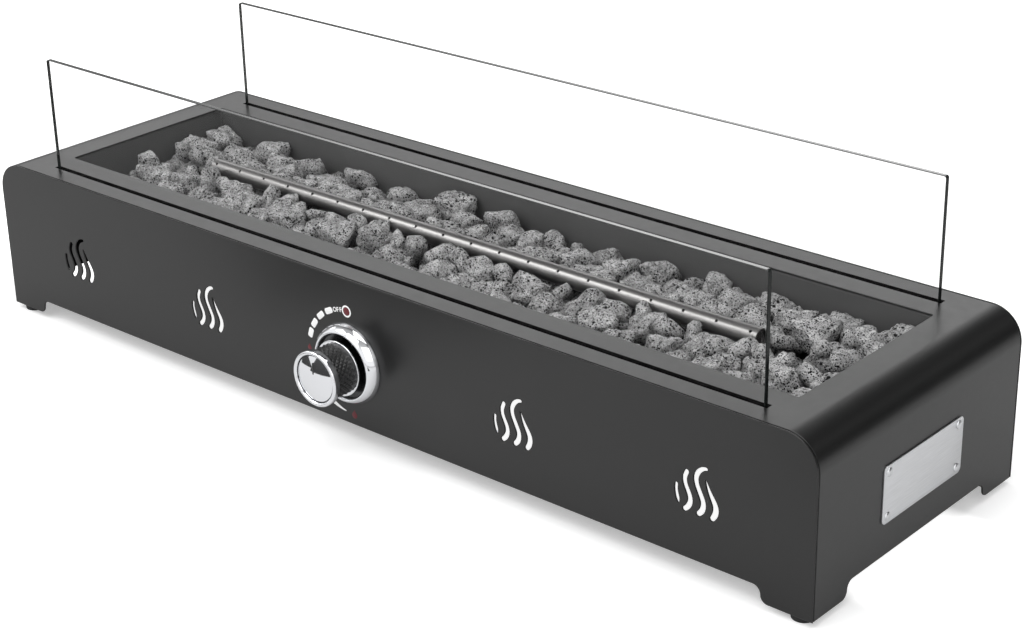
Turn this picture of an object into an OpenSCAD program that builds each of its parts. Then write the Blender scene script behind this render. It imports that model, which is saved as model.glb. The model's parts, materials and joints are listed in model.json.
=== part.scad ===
// Tabletop gas fire pit: a folded steel casing on rubber feet, a drop-in fire pan with lava rock,
// a straight burner tube fed through an air mixer, a push-and-turn gas valve and two glass panels.
// Millimetres. X runs along the casing, the knob faces -Y, Z is up and zero is the table.

/* [Casing] */
// Length of the casing
body_l = 830; // [800:5:900]
// Depth of the casing, front face to rear face
body_w = 256; // [250:2:300]
// Height of the casing without its rubber feet
body_h = 131; // [129:1:160]
// Outer radius of the bend at each end of the top
bend_r = 25; // [15:1:35]
// Thickness of the casing sheet
sheet_t = 1.5; // [1:0.1:2]

/* [Legs] */
// Length of the flat under each corner leg
leg_flat = 35; // [31:1:60]
// Radius of the two arcs that rise from a leg to the lower edge
leg_r = 6; // [4:0.5:10]

/* [Fire pan] */
// Distance from an end of the casing to the opening in its top
opening_end = 46; // [44:1:60]
// Distance from a long face of the casing to the opening
opening_side = 45; // [44:1:52]
// Corner radius of the opening
opening_r = 2; // [1:0.5:10]
// How far the pan's walls stand back from the edge of the opening
pan_setback = 0.5; // [0.3:0.1:1]
// Depth from the top of the casing to the pan's floor
pan_depth = 50; // [48:1:52]
// Thickness of the pan sheet
pan_t = 1.2; // [0.8:0.1:1.6]
// Width of the pan's flange outside its walls
pan_flange = 14; // [12:0.5:15]
// Pan studs along each long side
pan_stud_n = 4; // [2:1:6]
// Distance from an end of the opening to the nearest pan stud
pan_stud_in = 45; // [20:5:100]

/* [Glass] */
// How far each end of the glass stands in from the end of the opening
glass_short = 9; // [7:0.5:60]
// Thickness of the glass
glass_t = 4; // [3:0.5:5]
// Height of the glass above the casing
glass_up = 94.5; // [60:0.5:140]
// Depth of the glass below the top of the casing
glass_in = 12; // [9:0.5:16]
// Corner radius of the glass
glass_r = 2; // [1:0.5:8]
// Distance from a long face of the casing to the middle of the glass
glass_inset = 21.5; // [20:0.5:23]
// Clearance of the glass at each face
glass_gap = 0.5; // [0.3:0.1:1]
// Clearance of the glass at each end
glass_end_gap = 2; // [1:0.5:3]
// Thickness of the channel sheet
channel_t = 1.2; // [0.8:0.1:1.5]
// Width of the channel's fixing flange
channel_flange = 13; // [11:0.5:13.5]
// Channel studs along each side
channel_stud_n = 5; // [2:1:8]
// Distance from an end of the glass to the nearest channel stud
channel_stud_in = 40; // [20:5:100]

/* [Burner] */
// Outer diameter of the burner tube
burner_d = 15; // [14:0.5:17]
// Wall of the burner tube
burner_t = 1; // [0.6:0.1:1.5]
// Length of the burner tube
burner_l = 564; // [400:1:640]
// Depth of the burner's axis below the top of the casing
burner_drop = 12.8; // [12:0.1:16]
// Ports along each side of the burner
port_n = 20; // [8:1:24]
// Diameter of a port
port_d = 2.4; // [1:0.1:3]
// Distance from the last port to the end of the tube
port_end = 5.6; // [5:0.1:12]
// Angle of the ports above the horizontal
port_angle = 47; // [30:1:80]
// How far the end caps sit inside the tube
cap_recess = 1.5; // [0.5:0.1:4]
// Thickness of the end caps
cap_t = 2.5; // [1:0.1:5]
// Distance from an end of the tube to the nearest bracket
bracket_in = 85; // [60:5:120]
// Length of a burner bracket's foot along the tube
bracket_l = 26; // [25:1:30]
// Width of a burner bracket across the tube
bracket_w = 12; // [11:1:14]
// Thickness of a burner bracket
bracket_t = 1.5; // [1:0.1:2]
// Length of the cradle that the tube lies in
cradle_l = 12; // [8:1:20]
// Distance from an end of a bracket's foot to its screw
bracket_screw_in = 4.5; // [4:0.1:5]

/* [Lava rock] */
// Least gap between two rocks, halved
rock_gap = 0.4; // [0.3:0.1:1]
// Gap between the pan's walls and the rocks
rock_wall_gap = 1.4; // [0.5:0.1:4]
// Middle of the first column, from the left wall of the pan
rock_start = 34; // [30:1:60]
// Height of the tallest rock in the rows beside the burner
rock_tall = 44; // [36:1:44]
// How much lower the tallest rock of each row towards the walls is
rock_fall = 2; // [0:0.5:8]
// Height of the tallest rock under the burner
rock_low = 27; // [20:1:27]

/* [Vents] */
// Distance between vents
vent_step = 160; // [120:5:170]
// Distance from the top of the casing down to the knob's axis and the vents
knob_drop = 68; // [66:1:70]
// Width of a vent stroke, as a share of the drawn one
vent_width = 1; // [0.6:0.1:1.2]

/* [Knob] */
// Radius of the bezel at the panel
bezel_r = 32.5; // [31:0.5:36]
// Radius of the bezel's rim
bezel_rim_r = 28.2; // [27:0.1:29]
// Height of the bezel's rim above the panel
bezel_h = 9.3; // [8:0.1:10]
// Thickness of the bezel's floor
bezel_floor = 4; // [3.5:0.1:4.2]
// Thickness of the bezel's rim wall
bezel_wall = 1.2; // [1:0.1:2]
// Distance of a bezel screw from the knob's axis
bezel_screw_x = 22; // [21:0.5:23]
// Metal left in front of a bezel screw
bezel_skin = 1; // [0.6:0.1:1.5]
// Radius of the knob's rear ring and of its cap
cap_r = 22; // [20.5:0.5:24]
// Radius of the grip at its ends
grip_r = 20.5; // [18:0.5:21]
// Depth of the waist in the grip
grip_waist = 0.5; // [0.3:0.1:1.5]
// Distance from the panel to the rear of the knob
knob_back = 10.4; // [10:0.1:11]
// Thickness of the knob's rear ring
ring_t = 2.2; // [1.5:0.1:3]
// Width of the seat that the rear ring has on the grip
ring_seat = 4; // [2:0.5:5]
// Wall of the grip
grip_wall = 2; // [1.5:0.5:3]
// Radius of the hub inside the grip
hub_r = 8; // [6:0.5:10]
// Length of the grip between the ring and the cap
grip_l = 18.5; // [14:0.1:20]
// Thickness of the knob's cap at its middle
cap_l = 6.2; // [5:0.1:8]
// How far the ridge round the cap's face stands in from its side
groove_in = 3.6; // [3:0.1:6]
// Width of the indicator line on the cap
line_w = 1.6; // [1:0.1:3]
// Length of the indicator line
line_l = 10; // [6:0.5:12]
// Travel of the knob when pushed in
push_travel = 5.5; // [4:0.1:5.8]

/* [Valve] */
// Radius of the valve stem
stem_r = 3; // [2.5:0.1:3.4]
// Depth of the flat on the stem, which turns the knob with it
flat_depth = 0.8; // [0.5:0.1:1.2]
// Running clearance of the stem in the valve
stem_gap = 0.05; // [0.02:0.01:0.1]
// Length of the stem inside the valve's plug
stem_in = 16; // [10:1:18]
// How far the stem's front end stays behind the cap
stem_short = 1.6; // [1:0.1:4]
// Radius of the shoulder that stops the spring's washer
stem_shoulder_r = 4.6; // [4:0.1:5]
// Thickness of that shoulder
stem_shoulder_t = 1.5; // [1:0.1:2]
// Radius of the valve's neck
neck_r = 9; // [8.5:0.1:10]
// Clearance of the neck in the panel
neck_gap = 0.8; // [0.5:0.1:1]
// How far the neck stands out of the panel
neck_out = 1; // [0.5:0.1:2]
// Bore of the neck, where the spring sits
neck_bore_r = 6.5; // [6:0.1:7]
// Depth of the neck's bore
neck_bore_l = 17; // [16:0.5:20]
// Radius of the valve's body
valve_r = 12.5; // [12:0.5:14]
// Length of the valve's body
valve_l = 36; // [35:1:40]
// Depth of the gas outlet at the rear of the valve
outlet_l = 8; // [6:0.5:9]
// Radius of the boss on the side of the valve
side_boss_r = 8; // [7.5:0.5:9]
// Distance from the knob's axis to the end of the side boss
side_boss_x = 24; // [20:1:26]
// Thickness of the valve's flange
flange_t = 3; // [2.5:0.1:4]
// Width of the flange beside the neck
flange_side = 2; // [1:0.5:3]
// Thickness of the valve's mounting plate
plate_t = 2; // [1.5:0.1:3]
// Width of the mounting plate beyond the bezel screws
plate_side = 8; // [6:1:12]
// Height of the mounting plate beyond the flange
plate_over = 3; // [1:0.5:6]
// Diameter of the spring wire
wire_d = 1; // [0.8:0.1:1.1]
// Curls of the return spring
spring_curls = 4; // [3:1:5]
// Thickness of the washer that the spring pushes on
seat_t = 2; // [1.5:0.1:2.5]
// Clearance of that washer in the neck
seat_gap = 0.15; // [0.1:0.05:0.3]

/* [Gas pipes] */
// Radius of the gas pipes
pipe_r = 4; // [3:0.5:4.5]
// Wall of the gas pipes
pipe_t = 1; // [0.6:0.1:1.5]
// Radius of the pipes' bends
pipe_bend = 10; // [9:1:11]
// Radius of the pipe nuts, across their corners
pipe_nut_r = 7.5; // [7:0.1:8]
// Length of the pipe nuts
pipe_nut_l = 10; // [8:0.5:12]
// Distance of the gas inlet from the middle
inlet_x = 52; // [50:1:60]
// Radius of the inlet's flare thread
inlet_r = 7.94; // [7:0.01:9]
// Length of the inlet's flare thread
inlet_thread = 15; // [12:1:18]
// Depth of the neck behind the thread
thread_depth = 1; // [0.5:0.1:1.5]
// Length of that neck
fit_neck = 1; // [0.5:0.1:2]
// Length of the cone at the end of the inlet
fit_cone = 4; // [3:0.1:5]
// Radius of the inlet's hexagon and nut, across their corners
fit_hex_r = 12; // [11:0.5:14]
// Thickness of the inlet's hexagon
fit_hex_t = 5; // [4:0.5:7]
// Thickness of the inlet's nut
fit_nut_t = 5; // [4:0.5:7]
// Length of the inlet inside the panel
fit_in = 15; // [12:0.5:20]
// Radius of the inlet inside the panel
fit_in_r = 7; // [6.5:0.1:8]
// Radius of the inlet's bore
fit_bore = 3; // [2:0.1:4]

/* [Air mixer] */
// Radius of the nipple that carries the middle of the burner
nipple_r = 6.5; // [6:0.1:7]
// Radius of the nipple's bore
nipple_bore = 4.5; // [4:0.1:5]
// Radius of the shoulder that the nipple stands on
shoulder_r = 12; // [10:0.5:14]
// Thickness of that shoulder
shoulder_t = 3; // [2:0.5:5]
// Radius of the nipple's locknut, across its corners
locknut_r = 11; // [9:0.5:14]
// Thickness of the nipple's locknut
locknut_t = 5; // [4:0.5:6]
// Radius of the air mixer
mixer_r = 11; // [10.5:0.5:12]
// Length of the air mixer
mixer_l = 30; // [28:1:32]
// Length of the nipple inside the mixer
mixer_grip = 9; // [7:0.5:10]
// Radius of the mixer's chamber
mixer_bore = 8; // [7:0.1:9]
// Thickness of the mixer's floor
mixer_floor = 5; // [4:0.5:6]
// Height of the mixer's air windows
window_h = 9; // [6:0.5:10]
// Width of the air windows
window_w = 6; // [4:0.5:8]
// Distance from the mixer's floor up to its air windows
window_up = 3; // [1:0.5:4]
// Radius of the orifice's thread
jet_r = 4; // [3.7:0.1:4.5]
// Radius of the orifice's hexagon, across its corners
jet_hex = 7; // [6:0.1:8]
// Thickness of the orifice's hexagon
jet_t = 6; // [4:0.5:7]
// Radius of the orifice's hole
jet_bore = 0.5; // [0.3:0.1:0.8]
// Radius of the orifice's tip
jet_tip_r = 1.2; // [1:0.1:2]
// Length of the orifice's tip
jet_tip_l = 3; // [2:0.5:4]

/* [Feet] */
// Diameter of a rubber foot
foot_d = 17; // [16:0.5:17.5]
// How far the feet stand below the legs
foot_drop = 5; // [4:0.5:7]
// Height of a foot
foot_h = 8; // [7.5:0.5:10]
// Radius of a foot's lower edge
foot_edge = 1.5; // [1:0.5:2]
// Radius of the recess for the screw's head
recess_r = 5; // [4.5:0.1:5.5]
// Depth of that recess
recess_h = 3.6; // [3:0.1:4.5]
// Distance from an end of the casing to the middle of a foot
foot_in_x = 13.5; // [12:0.5:18]
// Distance from a long face of the casing to the middle of a foot
foot_in_y = 10.6; // [10.5:0.1:14]
// Width of a corner bracket's sides
corner_w = 25; // [24:0.5:28]
// Distance from the top of a corner bracket up to the start of the bends
corner_gap = 9; // [2:1:40]
// Thickness of the tab that a foot's screw goes through
tab_t = 2; // [1.5:0.1:3]

/* [Plate on the right end] */
// Length of the plate
badge_l = 100; // [60:1:130]
// Height of the plate
badge_h = 43.5; // [30:0.5:60]
// Thickness of the plate
badge_t = 1.2; // [0.8:0.1:2]
// Height of the plate's middle above the legs
badge_z = 59.3; // [50:0.5:70]
// Corner radius of the plate
badge_r = 4; // [1:0.5:8]
// Distance from an end of the plate to its rivets
rivet_in_x = 6; // [5:0.5:12]
// Distance from a long edge of the plate to its rivets
rivet_in_z = 5.2; // [4:0.1:8]
// Radius of a rivet's shank
rivet_r = 1.6; // [1.2:0.1:2]
// Radius of a rivet's head
rivet_head_r = 3.2; // [2.4:0.1:3.8]
// Height of a rivet's head
rivet_head_t = 1.3; // [0.8:0.1:1.6]
// Radius of a rivet's closed tail
rivet_tail_r = 2.4; // [2.1:0.1:3]
// Height of a rivet's closed tail
rivet_tail_t = 1.2; // [0.8:0.1:2]

/* [Screws, studs and nuts] */
// Clearance of a screw or stud in its hole
hole_gap = 0.3; // [0.1:0.1:0.5]
// Radius of the pan's studs
stud_r = 2.5; // [2:0.1:2.6]
// Length of the pan's studs
stud_l = 10; // [7:0.5:14]
// Radius of the pan's nuts, across their corners
nut_r = 4.6; // [4.2:0.1:5]
// Thickness of the pan's nuts
nut_t = 4; // [3:0.5:5]
// Radius of the channel's studs
channel_stud_r = 2; // [1.5:0.1:2.2]
// Length of the channel's studs
channel_stud_l = 8; // [6:0.5:12]
// Radius of the screws
screw_r = 2; // [1.6:0.1:2.2]
// Radius of the small nuts, across their corners
small_nut_r = 4; // [3.7:0.1:4.2]
// Thickness of the small nuts
small_nut_t = 3; // [2:0.5:4]
// Length of a foot's or a bracket's screw past what it clamps
screw_past = 4; // [3:0.5:6]
// Radius of the valve and bezel screws' heads
screw_head_r = 3.5; // [3:0.1:3.8]
// Thickness of those heads
screw_head_t = 2.2; // [1.6:0.1:2.6]
// Radius of the bracket screws' heads
flat_head_r = 3.6; // [3.2:0.1:4]
// Thickness of the bracket screws' heads
flat_head_t = 2; // [1:0.1:2.5]
// Radius of the foot screws' heads
foot_head_r = 4; // [3.5:0.1:4.2]
// Thickness of the foot screws' heads
foot_head_t = 2.4; // [1.6:0.1:2.6]

/* [Hidden] */
$fn = 64;

eps = 0.01;       // lets one cut run past another
over = 1;         // how far a cut runs past a face
powder = "#3c3d3f";
powder_top = "#565759";
steel = "#b9bcc0";
bright = "#dcdfe2";
brass = "#b99a55";
dark_steel = "#3a3a3c";
black = "#1b1c1e";
stone = "#77787a";

// Levels and faces of the casing
leg_z = foot_drop;
top_z = leg_z + body_h;
under_z = top_z - sheet_t;
face_y = body_w / 2;
inner_y = face_y - sheet_t;
end_x = body_l / 2;
inner_x = end_x - sheet_t;
leg_end = leg_flat + 2 * leg_r;

// Fire pan
opening_l = body_l - 2 * opening_end;
opening_w = body_w - 2 * opening_side;
pan_in_l = opening_l + 2 * pan_setback;
pan_in_w = opening_w + 2 * pan_setback;
floor_z = top_z - pan_depth;
pan_under_z = floor_z - pan_t;
pan_out_y = pan_in_w / 2 + pan_t;
pan_out_x = pan_in_l / 2 + pan_t;
pan_stud_y = pan_out_y + (pan_flange - pan_t) / 2;
pan_stud_span = opening_l - 2 * pan_stud_in;

// Glass and its channels
glass_l = opening_l - 2 * glass_short;
glass_y = face_y - glass_inset;
slot_w = glass_t + 2 * glass_gap;
slot_l = glass_l + 2 * glass_end_gap;
glass_z = top_z - glass_in;
channel_w = slot_w + 2 * channel_t;
channel_stud_y = glass_y + channel_w / 2 + channel_flange / 2;
channel_stud_span = glass_l - 2 * channel_stud_in;

// Burner
burner_z = top_z - burner_drop;
burner_r = burner_d / 2;
burner_in_r = burner_r - burner_t;
port_span = burner_l - 2 * port_end;
bracket_x = burner_l / 2 - bracket_in;
bracket_screw_x = bracket_l / 2 - bracket_screw_in;
mixer_z = pan_under_z - locknut_t - mixer_l;
jet_z = mixer_z - jet_t;

// Valve and knob, measured along Y
knob_z = body_h - knob_drop;
axis_z = leg_z + knob_z;
panel_y = -face_y;
plate_y = panel_y + sheet_t;
flange_y = plate_y + plate_t;
valve_y = flange_y + flange_t;
valve_end = valve_y + valve_l;
neck_y = panel_y - neck_out;
bore_y = neck_y + neck_bore_l;
seat_y = neck_y + 1;
knob_y = panel_y - knob_back;
stem_front = knob_y - ring_t - grip_l + stem_short;
stem_front_l = knob_y - stem_front;
stem_end = bore_y + stem_in;
stem_hole_l = stem_in + push_travel + 1;
spring_in = seat_y + seat_t;
spring_l = bore_y - spring_in;
coil_r = (neck_bore_r + stem_r) / 2;
wire_sides = 6;
wire_rings = 8;
valve_screw_z = valve_r + screw_head_r + 0.5;
flange_hh = valve_screw_z + screw_head_r + 1;
plate_hw = bezel_screw_x + plate_side;
plate_hh = flange_hh + plate_over;

// Gas path
pipe_in_r = pipe_r - pipe_t;
boss_y = valve_y + valve_l / 2;
feed_low = jet_z - pipe_nut_l - pipe_bend - 1;

// Feet
foot_r = foot_d / 2;
tab_z = foot_h;
corner_h = top_z - bend_r - corner_gap - tab_z;

// The origin is the middle of the footprint of the whole object on the table
knob_proud = knob_back + ring_t + grip_l + cap_l;
inlet_proud = fit_hex_t + fit_neck + inlet_thread + fit_cone;
badge_proud = badge_t + rivet_head_t;
module in_casing() {
    translate([-badge_proud / 2, (knob_proud - inlet_proud) / 2, 0]) children();
}

// ---------- Helpers ----------

function rnd(k) = let (v = sin(k * 127.1 + 311.7) * 43758.5453) v - floor(v);
function spread(i, n, span) = n < 2 ? 0 : -span / 2 + i * span / (n - 1);

module mirrored(v) {
    children();
    mirror(v) children();
}

module four_corners() {
    mirrored([1, 0, 0]) mirrored([0, 1, 0]) children();
}

module along_y(y) {
    translate([0, y, axis_z]) rotate([-90, 0, 0]) children();
}

module hex(r, h) {
    cylinder(r = r, h = h, $fn = 6);
}

module round_rect(l, w, r) {
    square([l - 2 * r, w], center = true);
    square([l, w - 2 * r], center = true);
    for (x = [-1, 1], y = [-1, 1]) translate([x * (l / 2 - r), y * (w / 2 - r)]) circle(r);
}

// Half of a 2D shape as a ring about an axis
module lathe(points) {
    rotate_extrude($fn = 96) polygon(points);
}

// ---------- Casing ----------

// End view of the casing's front, with the two bends, standing on z = 0
module casing_outline(l, h, r) {
    translate([-l / 2, 0]) square([l, h - r]);
    translate([-l / 2 + r, 0]) square([l - 2 * r, h]);
    for (x = [-1, 1]) translate([x * (l / 2 - r), h - r]) circle(r, $fn = 128);
}

// What is cut away between two legs of a side that is l long
module leg_cut(l) {
    half = l / 2;
    translate([-half + leg_end, -over]) square([l - 2 * leg_end, 2 * leg_r + over]);
    for (s = [-1, 1]) translate([s * (half - leg_end), leg_r]) circle(leg_r);
    for (s = [0, 1]) mirror([s, 0]) difference() {
        translate([half - leg_end, -over]) square([2 * leg_r, leg_r + over]);
        translate([half - leg_flat, leg_r]) circle(leg_r);
        translate([half - leg_flat, -2 * over]) square([leg_r, 2 * over]);
    }
}

// Strokes of a vent, each as points of its middle line from the top: x, z and half the width there
strokes = [
    [[-15, 1.9, 1.1], [-15.2, -1.8, 1.15], [-14.6, -5.4, 1.3], [-13.8, -8.5, 1.35], [-13.3, -11, 0.7]],
    [[-6.6, 13.6, 1.55], [-8.3, 9.2, 1.7], [-7.9, 4.7, 1.75], [-6.2, 0.8, 1.8], [-4.4, -3, 1.9],
        [-3.6, -6.7, 1.95], [-4.2, -10, 1.95], [-5.9, -12.8, 1.85], [-8, -14.8, 1.65]],
    [[9, 20.2, 1.15], [6.2, 19.4, 1.4], [3.1, 16.8, 1.7], [1.3, 13.4, 1.85], [0.9, 10.2, 1.9],
        [1.6, 6.6, 1.9], [3.3, 2.8, 1.95], [5.3, -1.3, 2], [6.8, -5, 2.05], [6.9, -8.9, 2.1],
        [5.6, -12.3, 2.05], [3.3, -14.8, 1.75]],
    [[8.9, 11.9, 0.3], [10.1, 8.6, 0.85], [11.7, 4.8, 1.35], [13.7, 1, 1.8], [15.7, -2.4, 2.1],
        [17, -5.7, 2.3], [17.1, -9, 2.3], [16.1, -12.2, 2.15], [14.4, -14.8, 1.8]]
];
stroke_steps = 2; // parts of the curve from one point to the next
stroke_round = 4; // corners of a stroke's round end

function stroke_at(p, i, t) =
    let (a = p[max(0, i - 1)], b = p[i], c = p[i + 1], d = p[min(len(p) - 1, i + 2)])
    (2 * b + (c - a) * t + (2 * a - 5 * b + 4 * c - d) * t * t + (3 * b - 3 * c + d - a) * t * t * t) / 2;
function stroke_line(p) = concat([for (i = [0:len(p) - 2], k = [0:stroke_steps - 1])
    stroke_at(p, i, k / stroke_steps)], [p[len(p) - 1]]);
function stroke_way(line, i) =
    let (d = line[min(len(line) - 1, i + 1)] - line[max(0, i - 1)]) atan2(d[1], d[0]);
function stroke_side(line, i, turn) = let (a = stroke_way(line, i) + turn, r = vent_width * line[i][2])
    [line[i][0] + r * cos(a), line[i][1] + r * sin(a)];

module vent_stroke(points) {
    line = stroke_line(points);
    last = len(line) - 1;
    step = 180 / (stroke_round + 1);
    polygon(concat([for (i = [0:last]) stroke_side(line, i, 90)],
        [for (k = [1:stroke_round]) stroke_side(line, last, 90 - k * step)],
        [for (i = [last:-1:0]) stroke_side(line, i, -90)],
        [for (k = [1:stroke_round]) stroke_side(line, 0, -90 - k * step)]));
}

module vent_cuts() {
    for (s = [-1, 1], k = [1, 2]) translate([s * k * vent_step, knob_z])
        for (points = strokes) vent_stroke(points);
}

// A long side of the casing as a flat sheet, its outer face on y = 0 and its body towards +Y
module side_sheet() {
    rotate([90, 0, 0]) mirror([0, 0, 1]) linear_extrude(sheet_t) difference() {
        casing_outline(body_l, body_h, bend_r);
        leg_cut(body_l);
        vent_cuts();
        children();
    }
}

module front_panel() {
    color(powder) in_casing() translate([0, -face_y, leg_z]) side_sheet() {
        translate([0, knob_z]) circle(neck_r + neck_gap);
        for (s = [-1, 1]) translate([s * bezel_screw_x, knob_z]) circle(screw_r + hole_gap);
    }
}

module rear_panel() {
    color(powder) in_casing() translate([0, face_y, leg_z]) rotate([0, 0, 180]) side_sheet()
        translate([-inlet_x, knob_z]) circle(fit_in_r + hole_gap);
}

module wrap_cover() {
    slot_h = top_z - under_z + 2 * over;
    color(powder_top) in_casing() difference() {
        translate([0, inner_y, leg_z]) rotate([90, 0, 0]) linear_extrude(2 * inner_y) difference() {
            casing_outline(body_l, body_h, bend_r);
            translate([0, -over]) casing_outline(2 * inner_x, body_h - sheet_t + over, bend_r - sheet_t);
        }
        translate([0, 0, under_z - over]) linear_extrude(slot_h) round_rect(opening_l, opening_w, opening_r);
        for (s = [-1, 1]) translate([0, s * glass_y, under_z - over])
            linear_extrude(slot_h) square([slot_l, slot_w], center = true);
        translate([-end_x - over, 0, leg_z]) rotate([90, 0, 90]) linear_extrude(body_l + 2 * over)
            leg_cut(body_w);
        at_rivets() cylinder(r = rivet_r, h = 2 * over + sheet_t, center = true);
    }
}

module corner_bracket() {
    translate([inner_x - corner_w, inner_y - sheet_t, tab_z]) cube([corner_w, sheet_t, corner_h]);
    translate([inner_x - sheet_t, inner_y - corner_w, tab_z]) cube([sheet_t, corner_w, corner_h]);
    difference() {
        translate([inner_x - corner_w, inner_y - corner_w, tab_z]) cube([corner_w, corner_w, tab_t]);
        at_foot(tab_z - over) cylinder(r = screw_r + hole_gap, h = tab_t + 2 * over);
    }
}

module corner_brackets() {
    color(dark_steel) in_casing() four_corners() corner_bracket();
}

// ---------- Feet ----------

module at_foot(z) {
    translate([end_x - foot_in_x, face_y - foot_in_y, z]) children();
}

module rubber_feet() {
    color(black) in_casing() four_corners() at_foot(0) difference() {
        union() {
            rotate_extrude() difference() {
                square([foot_r, foot_h]);
                translate([foot_r - foot_edge, 0]) square(foot_edge);
            }
            rotate_extrude() intersection() {
                translate([foot_r - foot_edge, foot_edge]) circle(foot_edge);
                square([foot_r, foot_edge]);
            }
        }
        translate([0, 0, -over]) cylinder(r = recess_r, h = recess_h + over);
        cylinder(r = screw_r, h = foot_h + over);
    }
}

module foot_screws() {
    color(steel) in_casing() four_corners() at_foot(recess_h - foot_head_t) {
        cylinder(r = foot_head_r, h = foot_head_t);
        cylinder(r = screw_r, h = foot_head_t + foot_h - recess_h + tab_t + screw_past);
    }
}

module small_nut() {
    difference() {
        hex(small_nut_r, small_nut_t);
        translate([0, 0, -over]) cylinder(r = screw_r, h = small_nut_t + 2 * over);
    }
}

module foot_nuts() {
    color(steel) in_casing() four_corners() at_foot(tab_z + tab_t) small_nut();
}

// ---------- Plate on the right end ----------

module at_rivets() {
    for (y = [-1, 1], z = [-1, 1])
        translate([end_x - sheet_t / 2, y * (badge_l / 2 - rivet_in_x), leg_z + badge_z
            + z * (badge_h / 2 - rivet_in_z)]) rotate([0, 90, 0]) children();
}

module side_plate() {
    color(bright) in_casing() difference() {
        translate([end_x, 0, leg_z + badge_z]) rotate([90, 0, 90])
            linear_extrude(badge_t) round_rect(badge_l, badge_h, badge_r);
        at_rivets() cylinder(r = rivet_r, h = 2 * over + 2 * badge_t + sheet_t, center = true);
    }
}

module plate_rivets() {
    grip = sheet_t / 2 + badge_t;
    color(bright) in_casing() at_rivets() {
        translate([0, 0, -sheet_t / 2 - rivet_tail_t]) cylinder(r = rivet_tail_r, h = rivet_tail_t);
        translate([0, 0, -sheet_t / 2]) cylinder(r = rivet_r, h = sheet_t / 2 + grip);
        translate([0, 0, grip]) rotate_extrude() intersection() {
            translate([0, rivet_head_t - dome_r(rivet_head_r, rivet_head_t)])
                circle(dome_r(rivet_head_r, rivet_head_t), $fn = 96);
            square([rivet_head_r, rivet_head_t]);
        }
    }
}

// Radius of the ball whose cap is r wide and h high
function dome_r(r, h) = (r * r + h * h) / (2 * h);

// ---------- Fire pan ----------

module at_pan_studs(z) {
    for (s = [-1, 1], i = [0:pan_stud_n - 1])
        translate([spread(i, pan_stud_n, pan_stud_span), s * pan_stud_y, z]) children();
}

module fire_pan() {
    out_r = opening_r + pan_t;
    color(dark_steel) in_casing() difference() {
        union() {
            translate([0, 0, pan_under_z]) linear_extrude(under_z - pan_under_z)
                round_rect(2 * pan_out_x, 2 * pan_out_y, out_r);
            translate([0, 0, under_z - pan_t]) linear_extrude(pan_t)
                round_rect(2 * pan_out_x + 2 * pan_flange, 2 * pan_out_y + 2 * pan_flange, out_r);
        }
        translate([0, 0, floor_z]) linear_extrude(pan_depth + over)
            round_rect(pan_in_l, pan_in_w, opening_r);
        at_pan_studs(under_z - pan_t - over) cylinder(r = stud_r + hole_gap, h = pan_t + 2 * over);
        translate([0, 0, pan_under_z - over]) cylinder(r = nipple_r + hole_gap, h = pan_t + 2 * over);
        at_bracket_screws(pan_under_z - over)
            cylinder(r = screw_r + hole_gap, h = pan_t + 2 * over);
    }
}

module pan_studs() {
    color(steel) in_casing() at_pan_studs(under_z - stud_l) cylinder(r = stud_r, h = stud_l);
}

module pan_nuts() {
    color(steel) in_casing() at_pan_studs(under_z - pan_t - nut_t) difference() {
        hex(nut_r, nut_t);
        translate([0, 0, -over]) cylinder(r = stud_r, h = nut_t + 2 * over);
    }
}

// ---------- Glass ----------

module at_channel_studs(z) {
    for (s = [-1, 1], i = [0:channel_stud_n - 1])
        translate([spread(i, channel_stud_n, channel_stud_span), s * channel_stud_y, z]) children();
}

module glass_channel(s) {
    color(dark_steel) in_casing() difference() {
        translate([0, s * glass_y, 0]) union() {
            translate([-slot_l / 2 - channel_t, -channel_w / 2, glass_z - channel_t])
                cube([slot_l + 2 * channel_t, channel_w, under_z - glass_z + channel_t]);
            translate([-slot_l / 2, s > 0 ? channel_w / 2 - eps : -channel_w / 2 - channel_flange,
                under_z - channel_t]) cube([slot_l, channel_flange + eps, channel_t]);
        }
        translate([0, s * glass_y, glass_z]) linear_extrude(glass_in)
            square([slot_l, slot_w], center = true);
        at_channel_studs(under_z - channel_t - over)
            cylinder(r = channel_stud_r + hole_gap, h = channel_t + 2 * over);
    }
}

module glass_channel_front() {
    glass_channel(-1);
}

module glass_channel_rear() {
    glass_channel(1);
}

module channel_studs() {
    color(steel) in_casing() at_channel_studs(under_z - channel_stud_l)
        cylinder(r = channel_stud_r, h = channel_stud_l);
}

module channel_nuts() {
    color(steel) in_casing() at_channel_studs(under_z - channel_t - small_nut_t) difference() {
        hex(small_nut_r, small_nut_t);
        translate([0, 0, -over]) cylinder(r = channel_stud_r, h = small_nut_t + 2 * over);
    }
}

module glass_panel(s) {
    h = glass_up + glass_in;
    color([0.75, 0.85, 0.85, 0.35]) in_casing() translate([0, s * glass_y + glass_t / 2, glass_z + h / 2])
        rotate([90, 0, 0]) linear_extrude(glass_t) round_rect(glass_l, h, glass_r);
}

module glass_front() {
    glass_panel(-1);
}

module glass_rear() {
    glass_panel(1);
}

// ---------- Burner ----------

module along_x(x) {
    translate([x, 0, burner_z]) rotate([0, 90, 0]) children();
}

module burner_tube() {
    color(steel) in_casing() difference() {
        along_x(-burner_l / 2) cylinder(r = burner_r, h = burner_l, $fn = 96);
        along_x(-burner_l / 2 - over) cylinder(r = burner_in_r, h = burner_l + 2 * over, $fn = 96);
        for (i = [0:port_n - 1], s = [-1, 1]) translate([spread(i, port_n, port_span), 0, burner_z])
            rotate([s * (90 - port_angle), 0, 0]) cylinder(r = port_d / 2, h = burner_r + over, $fn = 16);
        translate([0, 0, burner_z - burner_r - over]) cylinder(r = nipple_bore, h = burner_r);
    }
}

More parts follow.
